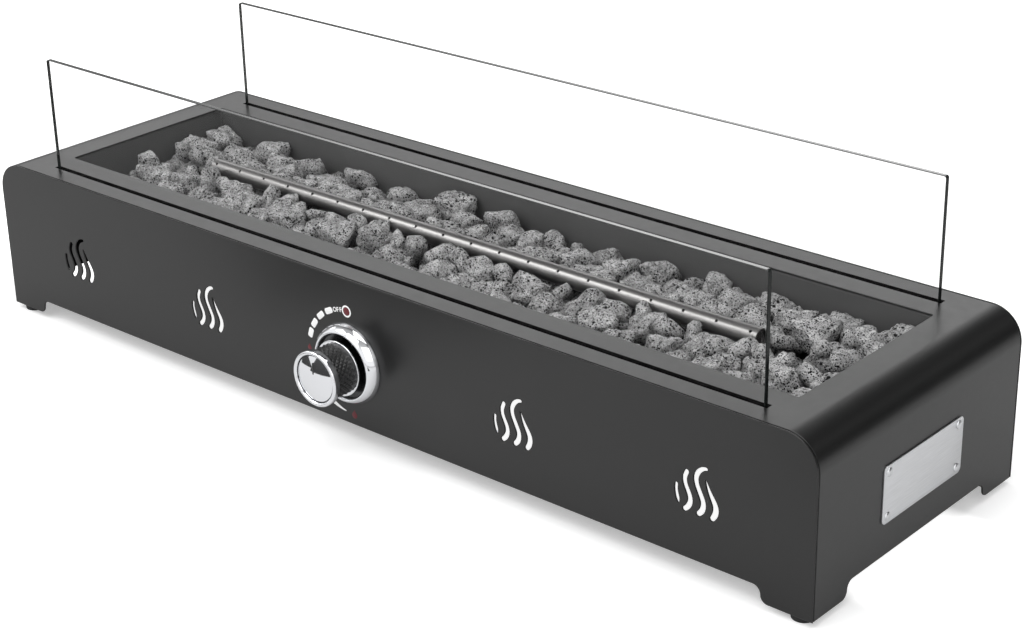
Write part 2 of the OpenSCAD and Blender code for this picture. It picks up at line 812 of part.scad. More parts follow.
module burner_end_caps() {
    color(dark_steel) in_casing() mirrored([1, 0, 0])
        along_x(burner_l / 2 - cap_recess - cap_t) cylinder(r = burner_in_r, h = cap_t, $fn = 96);
}

module at_bracket_screws(z) {
    for (s = [-1, 1], t = [-1, 1]) translate([s * bracket_x + t * bracket_screw_x, 0, z]) children();
}

// A foot on the pan's floor, a web and a cradle that the tube lies in
module burner_bracket() {
    out_r = burner_r + bracket_t;
    difference() {
        union() {
            translate([-bracket_l / 2, -bracket_w / 2, floor_z]) cube([bracket_l, bracket_w, bracket_t]);
            translate([-bracket_t / 2, -bracket_w / 2, floor_z])
                cube([bracket_t, bracket_w, burner_z - burner_r - floor_z]);
            intersection() {
                along_x(-cradle_l / 2) cylinder(r = out_r, h = cradle_l, $fn = 96);
                translate([-cradle_l / 2, -out_r, floor_z])
                    cube([cradle_l, 2 * out_r, burner_z - burner_r / 3 - floor_z]);
            }
        }
        along_x(-bracket_l / 2) cylinder(r = burner_r, h = bracket_l, $fn = 96);
    }
}

module burner_brackets() {
    color(steel) in_casing() difference() {
        for (s = [-1, 1]) translate([s * bracket_x, 0, 0]) burner_bracket();
        at_bracket_screws(floor_z - over) cylinder(r = screw_r + hole_gap, h = bracket_t + 2 * over);
    }
}

module bracket_screws() {
    color(steel) in_casing() at_bracket_screws(pan_under_z - flat_head_t) {
        cylinder(r = flat_head_r, h = flat_head_t);
        cylinder(r = screw_r, h = flat_head_t + pan_t + bracket_t + screw_past);
    }
}

module bracket_nuts() {
    color(steel) in_casing() at_bracket_screws(floor_z + bracket_t) small_nut();
}

// The nipple that stands on the pan's floor and carries the middle of the burner
module burner_inlet() {
    low = pan_under_z - locknut_t - mixer_grip;
    color(steel) in_casing() difference() {
        union() {
            translate([0, 0, low]) cylinder(r = nipple_r, h = burner_z - low);
            translate([0, 0, floor_z]) cylinder(r = shoulder_r, h = shoulder_t);
        }
        translate([0, 0, low - over]) cylinder(r = nipple_bore, h = burner_z - low + 2 * over);
        along_x(-shoulder_r) cylinder(r = burner_r, h = 2 * shoulder_r, $fn = 96);
    }
}

module inlet_locknut() {
    color(steel) in_casing() translate([0, 0, pan_under_z - locknut_t]) difference() {
        hex(locknut_r, locknut_t);
        translate([0, 0, -over]) cylinder(r = nipple_r, h = locknut_t + 2 * over);
    }
}

// ---------- Air mixer and gas path ----------

module air_mixer() {
    top = mixer_l - mixer_grip;
    windows_z = mixer_floor + window_up;
    color(brass) in_casing() translate([0, 0, mixer_z]) difference() {
        cylinder(r = mixer_r, h = mixer_l);
        translate([0, 0, mixer_floor]) cylinder(r = mixer_bore, h = top - mixer_floor);
        translate([0, 0, top - eps]) cylinder(r = nipple_r, h = mixer_grip + over);
        translate([0, 0, -over]) cylinder(r = jet_r, h = mixer_floor + 2 * over);
        for (a = [0, 90]) rotate([0, 0, a]) translate([-window_w / 2, -mixer_r - over, windows_z])
            cube([window_w, 2 * mixer_r + 2 * over, window_h]);
    }
}

module gas_orifice() {
    thread_l = jet_t + mixer_floor;
    color(brass) in_casing() translate([0, 0, jet_z]) difference() {
        union() {
            hex(jet_hex, jet_t);
            cylinder(r = jet_r, h = thread_l);
            translate([0, 0, thread_l - eps]) cylinder(r1 = jet_r - 1, r2 = jet_tip_r, h = jet_tip_l);
        }
        translate([0, 0, -over]) cylinder(r = jet_r - 1, h = thread_l);
        cylinder(r = jet_bore, h = thread_l + jet_tip_l + over, $fn = 24);
    }
}

// A quarter bend of pipe in the XY plane: it starts at the origin along +X and turns towards +Y
module quarter_bend() {
    translate([0, pipe_bend, 0]) rotate([0, 0, -90]) rotate_extrude(angle = 90) translate([pipe_bend, 0])
        pipe_ring();
}

module pipe_ring() {
    difference() {
        circle(pipe_r, $fn = 48);
        circle(pipe_in_r, $fn = 48);
    }
}

// A straight length of pipe along +X
module pipe_run(l) {
    rotate([90, 0, 90]) linear_extrude(l) pipe_ring();
}

// From the back of the valve down, back under the mixer and up into the orifice
module feed_pipe() {
    drop = axis_z - feed_low - 2 * pipe_bend;
    back = -valve_end - pipe_nut_l - 3 * pipe_bend;
    rise = jet_z - feed_low - pipe_bend;
    color(steel) in_casing() translate([0, valve_end, axis_z]) rotate([0, 0, 90]) rotate([-90, 0, 0]) {
        pipe_run(pipe_nut_l);
        translate([pipe_nut_l, 0, 0]) quarter_bend();
        translate([pipe_nut_l + pipe_bend, pipe_bend, 0]) rotate([0, 0, 90]) pipe_run(drop);
        translate([pipe_nut_l + pipe_bend, pipe_bend + drop, 0]) mirror([1, -1, 0]) quarter_bend();
        translate([pipe_nut_l + 2 * pipe_bend, 2 * pipe_bend + drop, 0]) {
            pipe_run(back);
            translate([back, 0, 0]) mirror([0, 1, 0]) quarter_bend();
            translate([back + pipe_bend, -pipe_bend, 0]) rotate([0, 0, -90]) pipe_run(rise);
        }
    }
}

// From the gas inlet forward and into the side of the valve
module supply_pipe() {
    out = inlet_x - side_boss_x - pipe_bend;
    end = inner_y - fit_in;
    color(steel) in_casing() translate([side_boss_x, boss_y, axis_z]) {
        pipe_run(out);
        translate([out, 0, 0]) quarter_bend();
        translate([out + pipe_bend, pipe_bend, 0]) rotate([0, 0, 90])
            pipe_run(end - boss_y - pipe_bend);
    }
}

module pipe_nut() {
    difference() {
        hex(pipe_nut_r, pipe_nut_l);
        translate([0, 0, -over]) cylinder(r = pipe_r, h = pipe_nut_l + 2 * over);
    }
}

module pipe_nuts() {
    color(brass) in_casing() {
        along_y(valve_end) pipe_nut();
        translate([0, 0, jet_z - pipe_nut_l]) pipe_nut();
        translate([side_boss_x, boss_y, axis_z]) rotate([0, 90, 0]) pipe_nut();
        translate([inlet_x, inner_y - fit_in - pipe_nut_l, axis_z]) rotate([-90, 0, 0]) pipe_nut();
    }
}

module inlet_fitting() {
    lip = 0.6;
    color(brass) in_casing() translate([inlet_x, face_y, axis_z]) rotate([-90, 0, 0]) difference() {
        union() {
            hex(fit_hex_r, fit_hex_t);
            cylinder(r = inlet_r - thread_depth, h = fit_hex_t + fit_neck + eps);
            translate([0, 0, fit_hex_t + fit_neck]) cylinder(r = inlet_r, h = inlet_thread);
            translate([0, 0, fit_hex_t + fit_neck + inlet_thread])
                cylinder(r1 = inlet_r - thread_depth, r2 = fit_bore + lip, h = fit_cone);
            translate([0, 0, -sheet_t - fit_in]) cylinder(r = fit_in_r, h = sheet_t + fit_in + eps);
        }
        translate([0, 0, -sheet_t - fit_in - over])
            cylinder(r = fit_bore, h = sheet_t + fit_in + inlet_proud + 2 * over);
    }
}

module inlet_nut() {
    color(brass) in_casing() translate([inlet_x, inner_y, axis_z]) rotate([90, 0, 0]) difference() {
        hex(fit_hex_r, fit_nut_t);
        translate([0, 0, -over]) cylinder(r = fit_in_r, h = fit_nut_t + 2 * over);
    }
}

// ---------- Valve ----------

module valve_body() {
    flange_corner = 5;
    color(brass) in_casing() difference() {
        union() {
            along_y(neck_y) cylinder(r = neck_r, h = valve_y - neck_y);
            translate([0, flange_y, axis_z]) rotate([-90, 0, 0]) linear_extrude(flange_t)
                round_rect(2 * (neck_r + flange_side), 2 * flange_hh, flange_corner);
            along_y(valve_y - eps) cylinder(r = valve_r, h = valve_l + eps);
            translate([0, boss_y, axis_z]) rotate([0, 90, 0]) cylinder(r = side_boss_r, h = side_boss_x);
        }
        along_y(neck_y - over) cylinder(r = neck_bore_r, h = neck_bore_l + over);
        along_y(bore_y - over) cylinder(r = stem_r + stem_gap, h = stem_hole_l + over);
        along_y(valve_end - outlet_l) cylinder(r = pipe_in_r, h = outlet_l + over);
        translate([0, boss_y, axis_z]) rotate([0, 90, 0])
            cylinder(r = pipe_in_r, h = side_boss_x + over);
        for (s = [-1, 1]) translate([0, flange_y - over, axis_z + s * valve_screw_z]) rotate([-90, 0, 0])
            cylinder(r = screw_r, h = flange_t + 2 * over);
    }
}

module valve_plate() {
    corner = 4;
    color(steel) in_casing() translate([0, plate_y, axis_z]) rotate([-90, 0, 0]) linear_extrude(plate_t)
        difference() {
            round_rect(2 * plate_hw, 2 * plate_hh, corner);
            circle(neck_r + neck_gap);
            for (s = [-1, 1]) translate([s * bezel_screw_x, 0]) circle(screw_r + hole_gap);
            for (s = [-1, 1]) translate([0, s * valve_screw_z]) circle(screw_r);
        }
}

module cross_screw(shank) {
    slot = 1;
    cylinder(r = screw_r, h = shank);
    translate([0, 0, -screw_head_t]) difference() {
        cylinder(r = screw_head_r, h = screw_head_t);
        for (a = [0, 90]) rotate([0, 0, a]) translate([-screw_head_r / 2, -slot / 2, -over])
            cube([screw_head_r, slot, slot + over]);
    }
}

module valve_screws() {
    color(steel) in_casing() for (s = [-1, 1])
        translate([0, valve_y, axis_z + s * valve_screw_z]) rotate([90, 0, 0])
            cross_screw(flange_t + plate_t);
}

module bezel_screws() {
    color(steel) in_casing() for (s = [-1, 1]) translate([s * bezel_screw_x, flange_y, axis_z])
        rotate([90, 0, 0]) cross_screw(plate_t + sheet_t + bezel_floor - bezel_skin);
}

module valve_stem() {
    color(steel) in_casing() difference() {
        union() {
            along_y(stem_front) cylinder(r = stem_r, h = stem_end - stem_front);
            along_y(seat_y - stem_shoulder_t) cylinder(r = stem_shoulder_r, h = stem_shoulder_t);
        }
        translate([-stem_r, stem_front - over, axis_z + stem_r - flat_depth])
            cube([2 * stem_r, stem_front_l + over, stem_r]);
    }
}

module spring_seat() {
    color(brass) in_casing() along_y(seat_y) difference() {
        cylinder(r = neck_bore_r - seat_gap, h = seat_t);
        translate([0, 0, -over]) cylinder(r = stem_r + stem_gap, h = seat_t + 2 * over);
    }
}

// The spring is one unbroken wire on a helix along +Y
spring_rings = spring_curls * wire_rings;
spring_pitch = (spring_l - wire_d) / spring_curls;
wire_r = wire_d / 2;
function coil_point(i) = let (a = 360 * i / wire_rings)
    [coil_r * cos(a), coil_r * sin(a), wire_r + spring_pitch * i / wire_rings];
function wire_ring(i) = let (a = 360 * i / wire_rings, c = coil_point(i))
    [for (k = [0:wire_sides - 1]) let (b = 360 * k / wire_sides)
        c + [wire_r * cos(b) * cos(a), wire_r * cos(b) * sin(a), wire_r * sin(b)]];
function tube_faces(rings, sides) = concat(
    [for (i = [0:rings - 1], k = [0:sides - 1]) let (a = i * sides + k, b = i * sides + (k + 1) % sides)
        [a, b, b + sides]],
    [for (i = [0:rings - 1], k = [0:sides - 1]) let (a = i * sides + k, b = i * sides + (k + 1) % sides)
        [a, b + sides, a + sides]],
    [for (k = [1:sides - 2]) [0, k + 1, k]],
    [for (k = [1:sides - 2]) [rings * sides, rings * sides + k, rings * sides + k + 1]]
);
spring_points = [for (i = [0:spring_rings]) coil_point(i)];
spring_gap = min([for (i = [0:spring_rings], j = [0:spring_rings])
    if (abs(i - j) > wire_rings / 2) norm(spring_points[i] - spring_points[j])]) - wire_d;
echo(spring_least_gap_mm = spring_gap);

module return_spring() {
    color(steel) in_casing() along_y(spring_in)
        polyhedron([for (i = [0:spring_rings]) each wire_ring(i)], tube_faces(spring_rings, wire_sides));
}

// ---------- Knob ----------

// Points of a quarter ellipse from [r0, h0] to [r1, h1], full at the start
function quarter(r0, h0, r1, h1, n) = [for (i = [0:n]) let (a = 90 * i / n)
    [r1 + (r0 - r1) * cos(a), h0 + (h1 - h0) * sin(a)]];

module knob_bezel() {
    in_r = bezel_rim_r - bezel_wall;
    lip = 0.6;
    color(bright) in_casing() translate([0, panel_y, axis_z]) rotate([90, 0, 0]) difference() {
        lathe(concat([[neck_r + neck_gap, 0], [bezel_r, 0]],
            quarter(bezel_r, 0.8, bezel_rim_r, bezel_h, 10),
            [[in_r + lip, bezel_h], [in_r, bezel_h - lip], [in_r - 1.4, bezel_floor],
                [neck_r + neck_gap, bezel_floor]]));
        for (s = [-1, 1]) translate([s * bezel_screw_x, 0, -over])
            cylinder(r = screw_r, h = bezel_floor - bezel_skin + over);
    }
}

module on_knob(h) {
    translate([0, panel_y - h, axis_z]) rotate([90, 0, 0]) children();
}

module knob_ring() {
    edge = 0.6;
    color(bright) in_casing() on_knob(knob_back) lathe([[grip_r - ring_seat, 0], [cap_r - edge, 0],
        [cap_r, edge], [cap_r, ring_t - edge], [cap_r - edge, ring_t], [grip_r - ring_seat, ring_t]]);
}

// The grip's skin draws in to a waist halfway along
grip_steps = 12;
module knob_grip() {
    color(black) in_casing() on_knob(knob_back) difference() {
        lathe(concat([[0, 0], [grip_r - ring_seat, 0], [grip_r - ring_seat, ring_t]],
            [for (i = [0:grip_steps]) let (t = i / grip_steps)
                [grip_r - grip_waist * sin(180 * t), ring_t + grip_l * t]],
            [[0, ring_t + grip_l]]));
        difference() {
            translate([0, 0, -over]) cylinder(r = stem_r, h = over + stem_front_l);
            translate([-stem_r, stem_r - flat_depth, -2 * over])
                cube([2 * stem_r, stem_r, stem_front_l + 3 * over]);
        }
        difference() {
            translate([0, 0, -over])
                cylinder(r = grip_r - ring_seat - grip_wall, h = over + ring_t + grip_l / 2);
            translate([0, 0, -2 * over]) cylinder(r = hub_r, h = 2 * over + ring_t + grip_l);
        }
    }
}

module knob_cap() {
    rim = 1.8;
    groove_r = cap_r - groove_in;
    face = cap_l - 0.5;
    line_d = 0.4;
    color(bright) in_casing() on_knob(knob_back + ring_t + grip_l) difference() {
        lathe(concat([[0, 0], [cap_r - 0.5, 0], [cap_r, 0.5]],
            quarter(cap_r, face - rim, cap_r - rim, face, 6),
            [[groove_r + 0.5, face], [groove_r, face - 0.5], [groove_r - 0.5, face - 0.1]],
            [for (i = [1:6]) let (r = (groove_r - 0.5) * (1 - i / 6))
                [r, cap_l - (cap_l - face + 0.1) * pow(r / (groove_r - 0.5), 2)]]));
        translate([-line_w / 2, groove_r - line_l - 1, cap_l - line_d]) cube([line_w, line_l, cap_l]);
    }
}

// ---------- Lava rock ----------

rock_sides = 6;
rock_rows_out = 2;
rock_stagger = 1 / 4;

// Rocks stand as close as their radius lets them, in staggered rows between the pan's walls
rock_step_y = (pan_in_w / 2 + rock_gap - rock_wall_gap) / (rock_rows_out + rock_stagger + 1 / 2);
rock_r = rock_step_y / 2 - rock_gap;
rock_span = pan_in_l - rock_start - rock_r - rock_wall_gap;
rock_cols = floor(rock_span / (rock_step_y * cos(30))) + 1;
rock_step_x = rock_span / (rock_cols - 1);

// Rings of a rock from its foot upwards: share of its radius and share of its height
rock_rings = [[0.74, 0], [1, 0.36], [0.7, 0.82]];

// Where rock i of row j stands, its radius and its height
function rock_rnd(i, j, k) = rnd(7.13 * i + 53.7 * j + 3.1 * k + 1);
function rock_size(i, j) = rock_r * (0.88 + 0.12 * rock_rnd(i, j, 0));
function rock_shift(i, j, k) = (rock_r - rock_size(i, j)) * (rock_rnd(i, j, k) - 0.5);
function rock_x(i, j) = -pan_in_l / 2 + rock_start + i * rock_step_x + rock_shift(i, j, 1);
function rock_y(i, j) = rock_step_y * (j - rock_rows_out + (i % 2 == 0 ? 1 : -1) * rock_stagger)
    + rock_shift(i, j, 2);
function rock_top(j) = let (out = abs(j - rock_rows_out)) out == 0 ? rock_low : rock_tall - rock_fall * out;
function rock_height(i, j) = rock_top(j) * (0.8 + 0.2 * rock_rnd(i, j, 3));

// A rock is a lumpy ball whose underside is flat on the pan's floor
function rock_lump(i, j, k) = 0.84 + 0.16 * rock_rnd(i, j, k + 4);
function rock_ring(i, j, m) = [for (k = [0:rock_sides - 1])
    let (a = 360 * (k + rock_rnd(i, j, 40) + m / 2) / rock_sides, lump = rock_lump(i, j, k + rock_sides * m),
        r = rock_size(i, j) * rock_rings[m][0] * lump)
    [rock_x(i, j) + r * cos(a), rock_y(i, j) + r * sin(a),
        floor_z + rock_height(i, j) * rock_rings[m][1] * lump]];
function rock_points(i, j) = concat(
    [[rock_x(i, j), rock_y(i, j), floor_z]],
    [for (m = [0:len(rock_rings) - 1]) each rock_ring(i, j, m)],
    [[rock_x(i, j), rock_y(i, j), floor_z + rock_height(i, j)]]);
rock_faces = let (n = rock_sides, bands = len(rock_rings) - 1, top = n * (bands + 1) + 1) concat(
    [for (k = [0:n - 1]) [0, 1 + k, 1 + (k + 1) % n]],
    [for (m = [0:bands - 1], k = [0:n - 1]) let (a = 1 + m * n + k, b = 1 + m * n + (k + 1) % n)
        each [[a, a + n, b], [b, a + n, b + n]]],
    [for (k = [0:n - 1]) [top, 1 + bands * n + (k + 1) % n, 1 + bands * n + k]]);

// No rock stands where the burner's nipple or a bracket stands
function rock_clear(i, j, x, half_x, half_y) = abs(rock_x(i, j) - x) > half_x + rock_r
    || abs(rock_y(i, j)) > half_y + rock_r;
function rock_stands(i, j) = rock_clear(i, j, 0, shoulder_r, shoulder_r)
    && rock_clear(i, j, bracket_x, bracket_l / 2, bracket_w / 2)
    && rock_clear(i, j, -bracket_x, bracket_l / 2, bracket_w / 2);

module rock_row(j) {
    color(stone) in_casing() for (i = [0:rock_cols - 1])
        if (rock_stands(i, j)) polyhedron(rock_points(i, j), rock_faces);
}

module lava_rock_1() {
    rock_row(0);
}

module lava_rock_2() {
    rock_row(1);
}

module lava_rock_3() {
    rock_row(2);
}

module lava_rock_4() {
    rock_row(3);
}

module lava_rock_5() {
    rock_row(4);
}

wrap_cover();
front_panel();
rear_panel();
corner_brackets();
rubber_feet();
foot_screws();
foot_nuts();
fire_pan();
pan_studs();
pan_nuts();
glass_channel_front();
glass_channel_rear();
channel_studs();
channel_nuts();
glass_front();
glass_rear();
burner_tube();
burner_end_caps();
burner_brackets();
bracket_screws();
bracket_nuts();
burner_inlet();
inlet_locknut();
air_mixer();
gas_orifice();
feed_pipe();
supply_pipe();
pipe_nuts();
valve_body();
valve_stem();
spring_seat();
return_spring();
valve_plate();
valve_screws();
bezel_screws();
inlet_fitting();
inlet_nut();
knob_bezel();
knob_ring();
knob_grip();
knob_cap();
side_plate();
plate_rivets();
lava_rock_1();
lava_rock_2();
lava_rock_3();
lava_rock_4();
lava_rock_5();
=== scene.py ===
"""Finish of a tabletop gas fire pit: every surface that shows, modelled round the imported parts.

Lengths are in metres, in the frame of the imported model. Each operator makes one piece or one group
of like pieces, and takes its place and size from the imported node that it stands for.
"""

import json
import math
import random

import bmesh
import bpy
from bpy.props import FloatProperty, FloatVectorProperty, IntProperty, PointerProperty
from mathutils import Matrix, Vector, noise


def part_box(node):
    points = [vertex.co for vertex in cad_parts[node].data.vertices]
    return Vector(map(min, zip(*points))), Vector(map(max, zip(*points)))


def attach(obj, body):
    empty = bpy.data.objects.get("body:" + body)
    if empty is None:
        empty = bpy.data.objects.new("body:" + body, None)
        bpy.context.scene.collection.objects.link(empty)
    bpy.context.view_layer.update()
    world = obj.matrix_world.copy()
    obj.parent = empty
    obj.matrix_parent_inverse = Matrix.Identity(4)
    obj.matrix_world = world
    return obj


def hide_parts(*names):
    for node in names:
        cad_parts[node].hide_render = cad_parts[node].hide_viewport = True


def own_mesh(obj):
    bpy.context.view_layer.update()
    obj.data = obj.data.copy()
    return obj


bl_info = {
    "name": "Tabletop Fire Pit",
    "version": (1, 0, 0),
    "blender": (4, 5, 0),
    "location": "View3D > Sidebar > Fire Pit",
    "description": "Builds the finished pieces of a tabletop gas fire pit round its packed parts",
    "category": "Add Mesh",
}

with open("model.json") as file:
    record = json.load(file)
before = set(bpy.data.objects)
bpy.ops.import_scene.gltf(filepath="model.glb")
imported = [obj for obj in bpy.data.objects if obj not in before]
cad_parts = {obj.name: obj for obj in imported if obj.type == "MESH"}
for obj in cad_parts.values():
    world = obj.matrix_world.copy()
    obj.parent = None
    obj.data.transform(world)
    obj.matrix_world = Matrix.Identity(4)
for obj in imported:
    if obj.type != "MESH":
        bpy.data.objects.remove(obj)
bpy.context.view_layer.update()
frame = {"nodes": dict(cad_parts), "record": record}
RECORD = frame["record"]
BODY_OF = {node: body for body, nodes in RECORD["behaviour"]["bodies"].items() for node in nodes}
SLOT_OF = {part["node"]: part["material_slot"] for part in RECORD["subparts"]}
MM = 0.001


# ---------- Sizes and colours ----------


def linear(code):
    """Linear RGBA of an sRGB hex colour."""
    parts = [int(code[i : i + 2], 16) / 255 for i in (1, 3, 5)]
    return [p / 12.92 if p <= 0.04045 else ((p + 0.055) / 1.055) ** 2.4 for p in parts] + [1.0]


def length(name, value, description):
    """A size in metres, given in millimetres."""
    return FloatProperty(name=name, description=description, default=value * MM, min=0, unit="LENGTH")


def colour(name, code, description):
    """A colour, given as a hex value."""
    return FloatVectorProperty(
        name=name, description=description, default=linear(code), size=4, subtype="COLOR"
    )


class FirePitSizes(bpy.types.PropertyGroup):
    """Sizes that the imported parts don't hold."""

    seam: length("Seam", 0.6, "Gap between the cover's long edges and the panels")
    sheet_edge: length("Sheet edge", 0.6, "Radius of the coated edges of the casing's sheets")
    bend_radius: length("End bend", 25, "Outer radius of the bend at each end of the top")
    leg_flat: length("Leg flat", 35, "Length of the flat under each leg")
    leg_radius: length("Leg radius", 6, "Radius of the two arcs beside each leg")
    opening_radius: length("Opening radius", 2, "Corner radius of the opening")
    pan_bend: length("Pan bend", 4, "Inner radius of the bend round the pan's floor")
    glass_edge: length("Glass edge", 0.5, "Width of the ground edge of the glass")
    print_radius: length("Dial radius", 42, "Radius of the marks printed round the knob")
    knurl_count: IntProperty(name="Knurl", description="Diamonds round the grip", default=28, min=8)
    knurl_depth: length("Knurl depth", 0.8, "Depth of the diamonds in the grip")
    stone_detail: IntProperty(name="Stone detail", description="Subdivisions of a stone", default=4)
    stone_grow: FloatProperty(
        name="Stone size", description="Size of the stones against the packed ones", default=1.2
    )
    chip_size: length("Chip size", 8, "Radius of the small stones in the gaps")
    chip_gap: length("Chip spacing", 14, "Least distance between two small stones")
    stone_seed: IntProperty(name="Stone seed", description="Seed of the stones' shapes", default=11)


class FirePitColours(bpy.types.PropertyGroup):
    """Colours of the finishes."""

    powder: colour("Powder coat", "#171717", "Charcoal powder coat of the casing")
    pan: colour("Pan coat", "#434343", "Heat-proof coat of the pan")
    stone: colour("Stone", "#b0b0b0", "Face of the lava rock")
    pore: colour("Pore", "#141414", "Pores of the lava rock")
    stainless: colour("Stainless", "#8a8988", "Drawn stainless steel")
    zinc: colour("Zinc", "#b4b7ba", "Zinc plate on screws and brackets")
    aluminium: colour("Aluminium", "#dcdddf", "Brushed aluminium plate")
    brass: colour("Brass", "#b08d4a", "Turned brass")
    chrome: colour("Chrome", "#e6e7ea", "Chrome plate")
    grip: colour("Grip", "#131314", "Moulded grip")
    rubber: colour("Rubber", "#161617", "Rubber of the feet")
    ink: colour("Ink", "#ffffff", "White ink of the dial marks")
    red_ink: colour("Red ink", "#64141f", "Red ink of the dial marks")


def sizes():
    """The sizes set on the scene."""
    return bpy.context.scene.fire_pit_sizes


def colours():
    """The colours set on the scene."""
    return bpy.context.scene.fire_pit_colours


# ---------- Materials ----------


def add(tree, kind, sockets=None, stops=(), **settings):
    """Adds a node with its settings and the stops of its ramp, and sets or links its sockets."""
    made = tree.nodes.new(kind)
    for name, value in settings.items():
        setattr(made, name, value)
    for name, value in (sockets or {}).items():
        if isinstance(value, bpy.types.NodeSocket):
            tree.links.new(value, made.inputs[name])
        else:
            made.inputs[name].default_value = value
    for i, (position, shade) in enumerate(stops):
        elements = made.color_ramp.elements
        element = elements[i] if i < len(elements) else elements.new(position)
        element.position = position
        element.color = shade
    return made


def surface(name, sockets):
    """A new material with a Principled shader. Returns the material, its tree, shader and coordinates."""
    made = bpy.data.materials.new(name)
    made.use_nodes = True
    tree = made.node_tree
    tree.nodes.clear()
    shader = add(tree, "ShaderNodeBsdfPrincipled", sockets)
    add(tree, "ShaderNodeOutputMaterial", {"Surface": shader.outputs[0]})
    place = add(tree, "ShaderNodeTexCoord").outputs["Object"]
    return made, tree, shader, place


def grain(tree, place, size, detail=2.0, stretch=(1, 1, 1), rough=0.5):
    """Noise whose lumps are size across, drawn out along an axis by a small stretch there."""
    scaled = add(tree, "ShaderNodeMapping", {"Vector": place, "Scale": stretch}).outputs[0]
    sockets = {"Vector": scaled, "Scale": 1 / size, "Detail": detail, "Roughness": rough}
    return add(tree, "ShaderNodeTexNoise", sockets).outputs["Fac"]


def faded(tree, value, start, end, first, last):
    """Turns a value that runs from start to end into one from first to last, smoothly."""
    sockets = {"Value": value, "From Min": start, "From Max": end, "To Min": first, "To Max": last}
    return add(tree, "ShaderNodeMapRange", sockets, interpolation_type="SMOOTHSTEP").outputs[0]


def mottled(tree, shader, value, shade, low, high, span=(0.3, 0.7)):
    """Colours a surface from a darker to a lighter tint of a shade, as a value rises over a span."""
    stops = [(span[0], tint(shade, low)), (span[1], tint(shade, high))]
    toned = add(tree, "ShaderNodeValToRGB", {"Fac": value}, stops).outputs["Color"]
    tree.links.new(toned, shader.inputs["Base Color"])


def glossed(tree, shader, value, low, high):
    """Makes a surface rougher, from low to high, as a value rises."""
    sockets = {"Value": value, "To Min": low, "To Max": high}
    tree.links.new(add(tree, "ShaderNodeMapRange", sockets).outputs["Result"], shader.inputs["Roughness"])


def bump(tree, shader, height, depth, strength=1.0):
    """Raises the shader's surface by a height of depth metres."""
    sockets = {"Height": height, "Distance": depth, "Strength": strength}
    tree.links.new(add(tree, "ShaderNodeBump", sockets).outputs[0], shader.inputs["Normal"])


def tint(shade, factor):
    """A colour made lighter or darker."""
    return [min(1.0, part * factor) for part in shade[:3]] + [1.0]


def coated_steel(name, shade, rough, peel, ior=1.6, depth=0.02 * MM):
    """Powder coat on sheet steel: a satin skin with a fine peel, and a slightly uneven gloss."""
    made, tree, shader, place = surface(name, {"IOR": ior})
    cloud = grain(tree, place, 90 * MM, 3)
    mottled(tree, shader, cloud, shade, 0.93, 1.07)
    glossed(tree, shader, grain(tree, place, 6 * MM, 3), rough - 0.04, rough + 0.04)
    bump(tree, shader, grain(tree, place, peel, 3), depth, 0.6)
    return made


def metal(name, shade, rough, size, stretch, depth):
    """A metal with a grain: long along one axis where it was drawn or brushed, round where it was plated."""
    made, tree, shader, place = surface(name, {"Metallic": 1.0})
    lines = grain(tree, place, size, 4, stretch)
    mottled(tree, shader, lines, shade, 0.88, 1.06)
    glossed(tree, shader, lines, rough * 0.8, rough * 1.25)
    bump(tree, shader, lines, depth, 0.5)
    return made


def powder_coat():
    """Satin charcoal powder coat, sprayed and baked: lumps of peel about 1 mm apart."""
    return coated_steel("powder_coated_steel", colours().powder, 0.31, 0.9 * MM, 1.5)


def pan_coat():
    """Matt heat-proof paint on the pan and brackets, drier and rougher than the casing's coat."""
    return coated_steel("heat_proof_paint", colours().pan, 0.6, 1.2 * MM, 1.5, 0.002 * MM)


def slot_primer():
    """Dark matt coat: painted shade on the cut edges of the slots for the glass, and on the glass channels in
    them.
    """
    return coated_steel("dark_primer", tint(colours().powder, 0.5), 0.8, 0.5 * MM, 1.2)


def zinc_steel():
    """Zinc-plated steel: dull silver with a fine even grain from the plating bath."""
    return metal("zinc_plated_steel", colours().zinc, 0.38, 0.8 * MM, (1, 1, 1), 0.01 * MM)


def stainless():
    """Drawn stainless tube: fine lines along its length, which stretch the highlight."""
    return metal("drawn_stainless_steel", colours().stainless, 0.3, 0.5 * MM, (0.02, 1, 1), 0.008 * MM)


def cap_steel():
    """Pressed steel end cap, darkened by heat."""
    return metal("heat_darkened_steel", tint(colours().stainless, 0.2), 0.45, 1.5 * MM, (1, 1, 1), 0.01 * MM)


def pipe_aluminium():
    """Drawn aluminium gas pipe, bent by hand, so its grain is short."""
    return metal("drawn_aluminium", colours().aluminium, 0.36, 0.7 * MM, (0.3, 0.3, 0.3), 0.01 * MM)


def brass():
    """Brass turned on a lathe, slightly dulled."""
    return metal("turned_brass", colours().brass, 0.32, 0.4 * MM, (1, 0.4, 1), 0.008 * MM)


def plate_aluminium():
    """Aluminium sheet brushed along its length, Y on this plate: lines about 0.3 mm wide."""
    return metal("brushed_aluminium", colours().aluminium, 0.36, 0.3 * MM, (1, 0.015, 1), 0.012 * MM)


def chrome():
    """Chrome plate over a polished casting: a mirror with the faintest waves."""
    made, tree, shader, place = surface(
        "chrome_plate", {"Metallic": 1.0, "Base Color": colours().chrome, "Roughness": 0.05}
    )
    bump(tree, shader, grain(tree, place, 14 * MM, 1), 0.05 * MM, 0.2)
    return made


def dark_chrome():
    """Darkened chrome: painted shade and dim painted reflections in the bezel's dish and the cap's groove."""
    return metal("unpolished_chrome", tint(colours().chrome, 0.1), 0.22, 1 * MM, (1, 1, 1), 0.005 * MM)


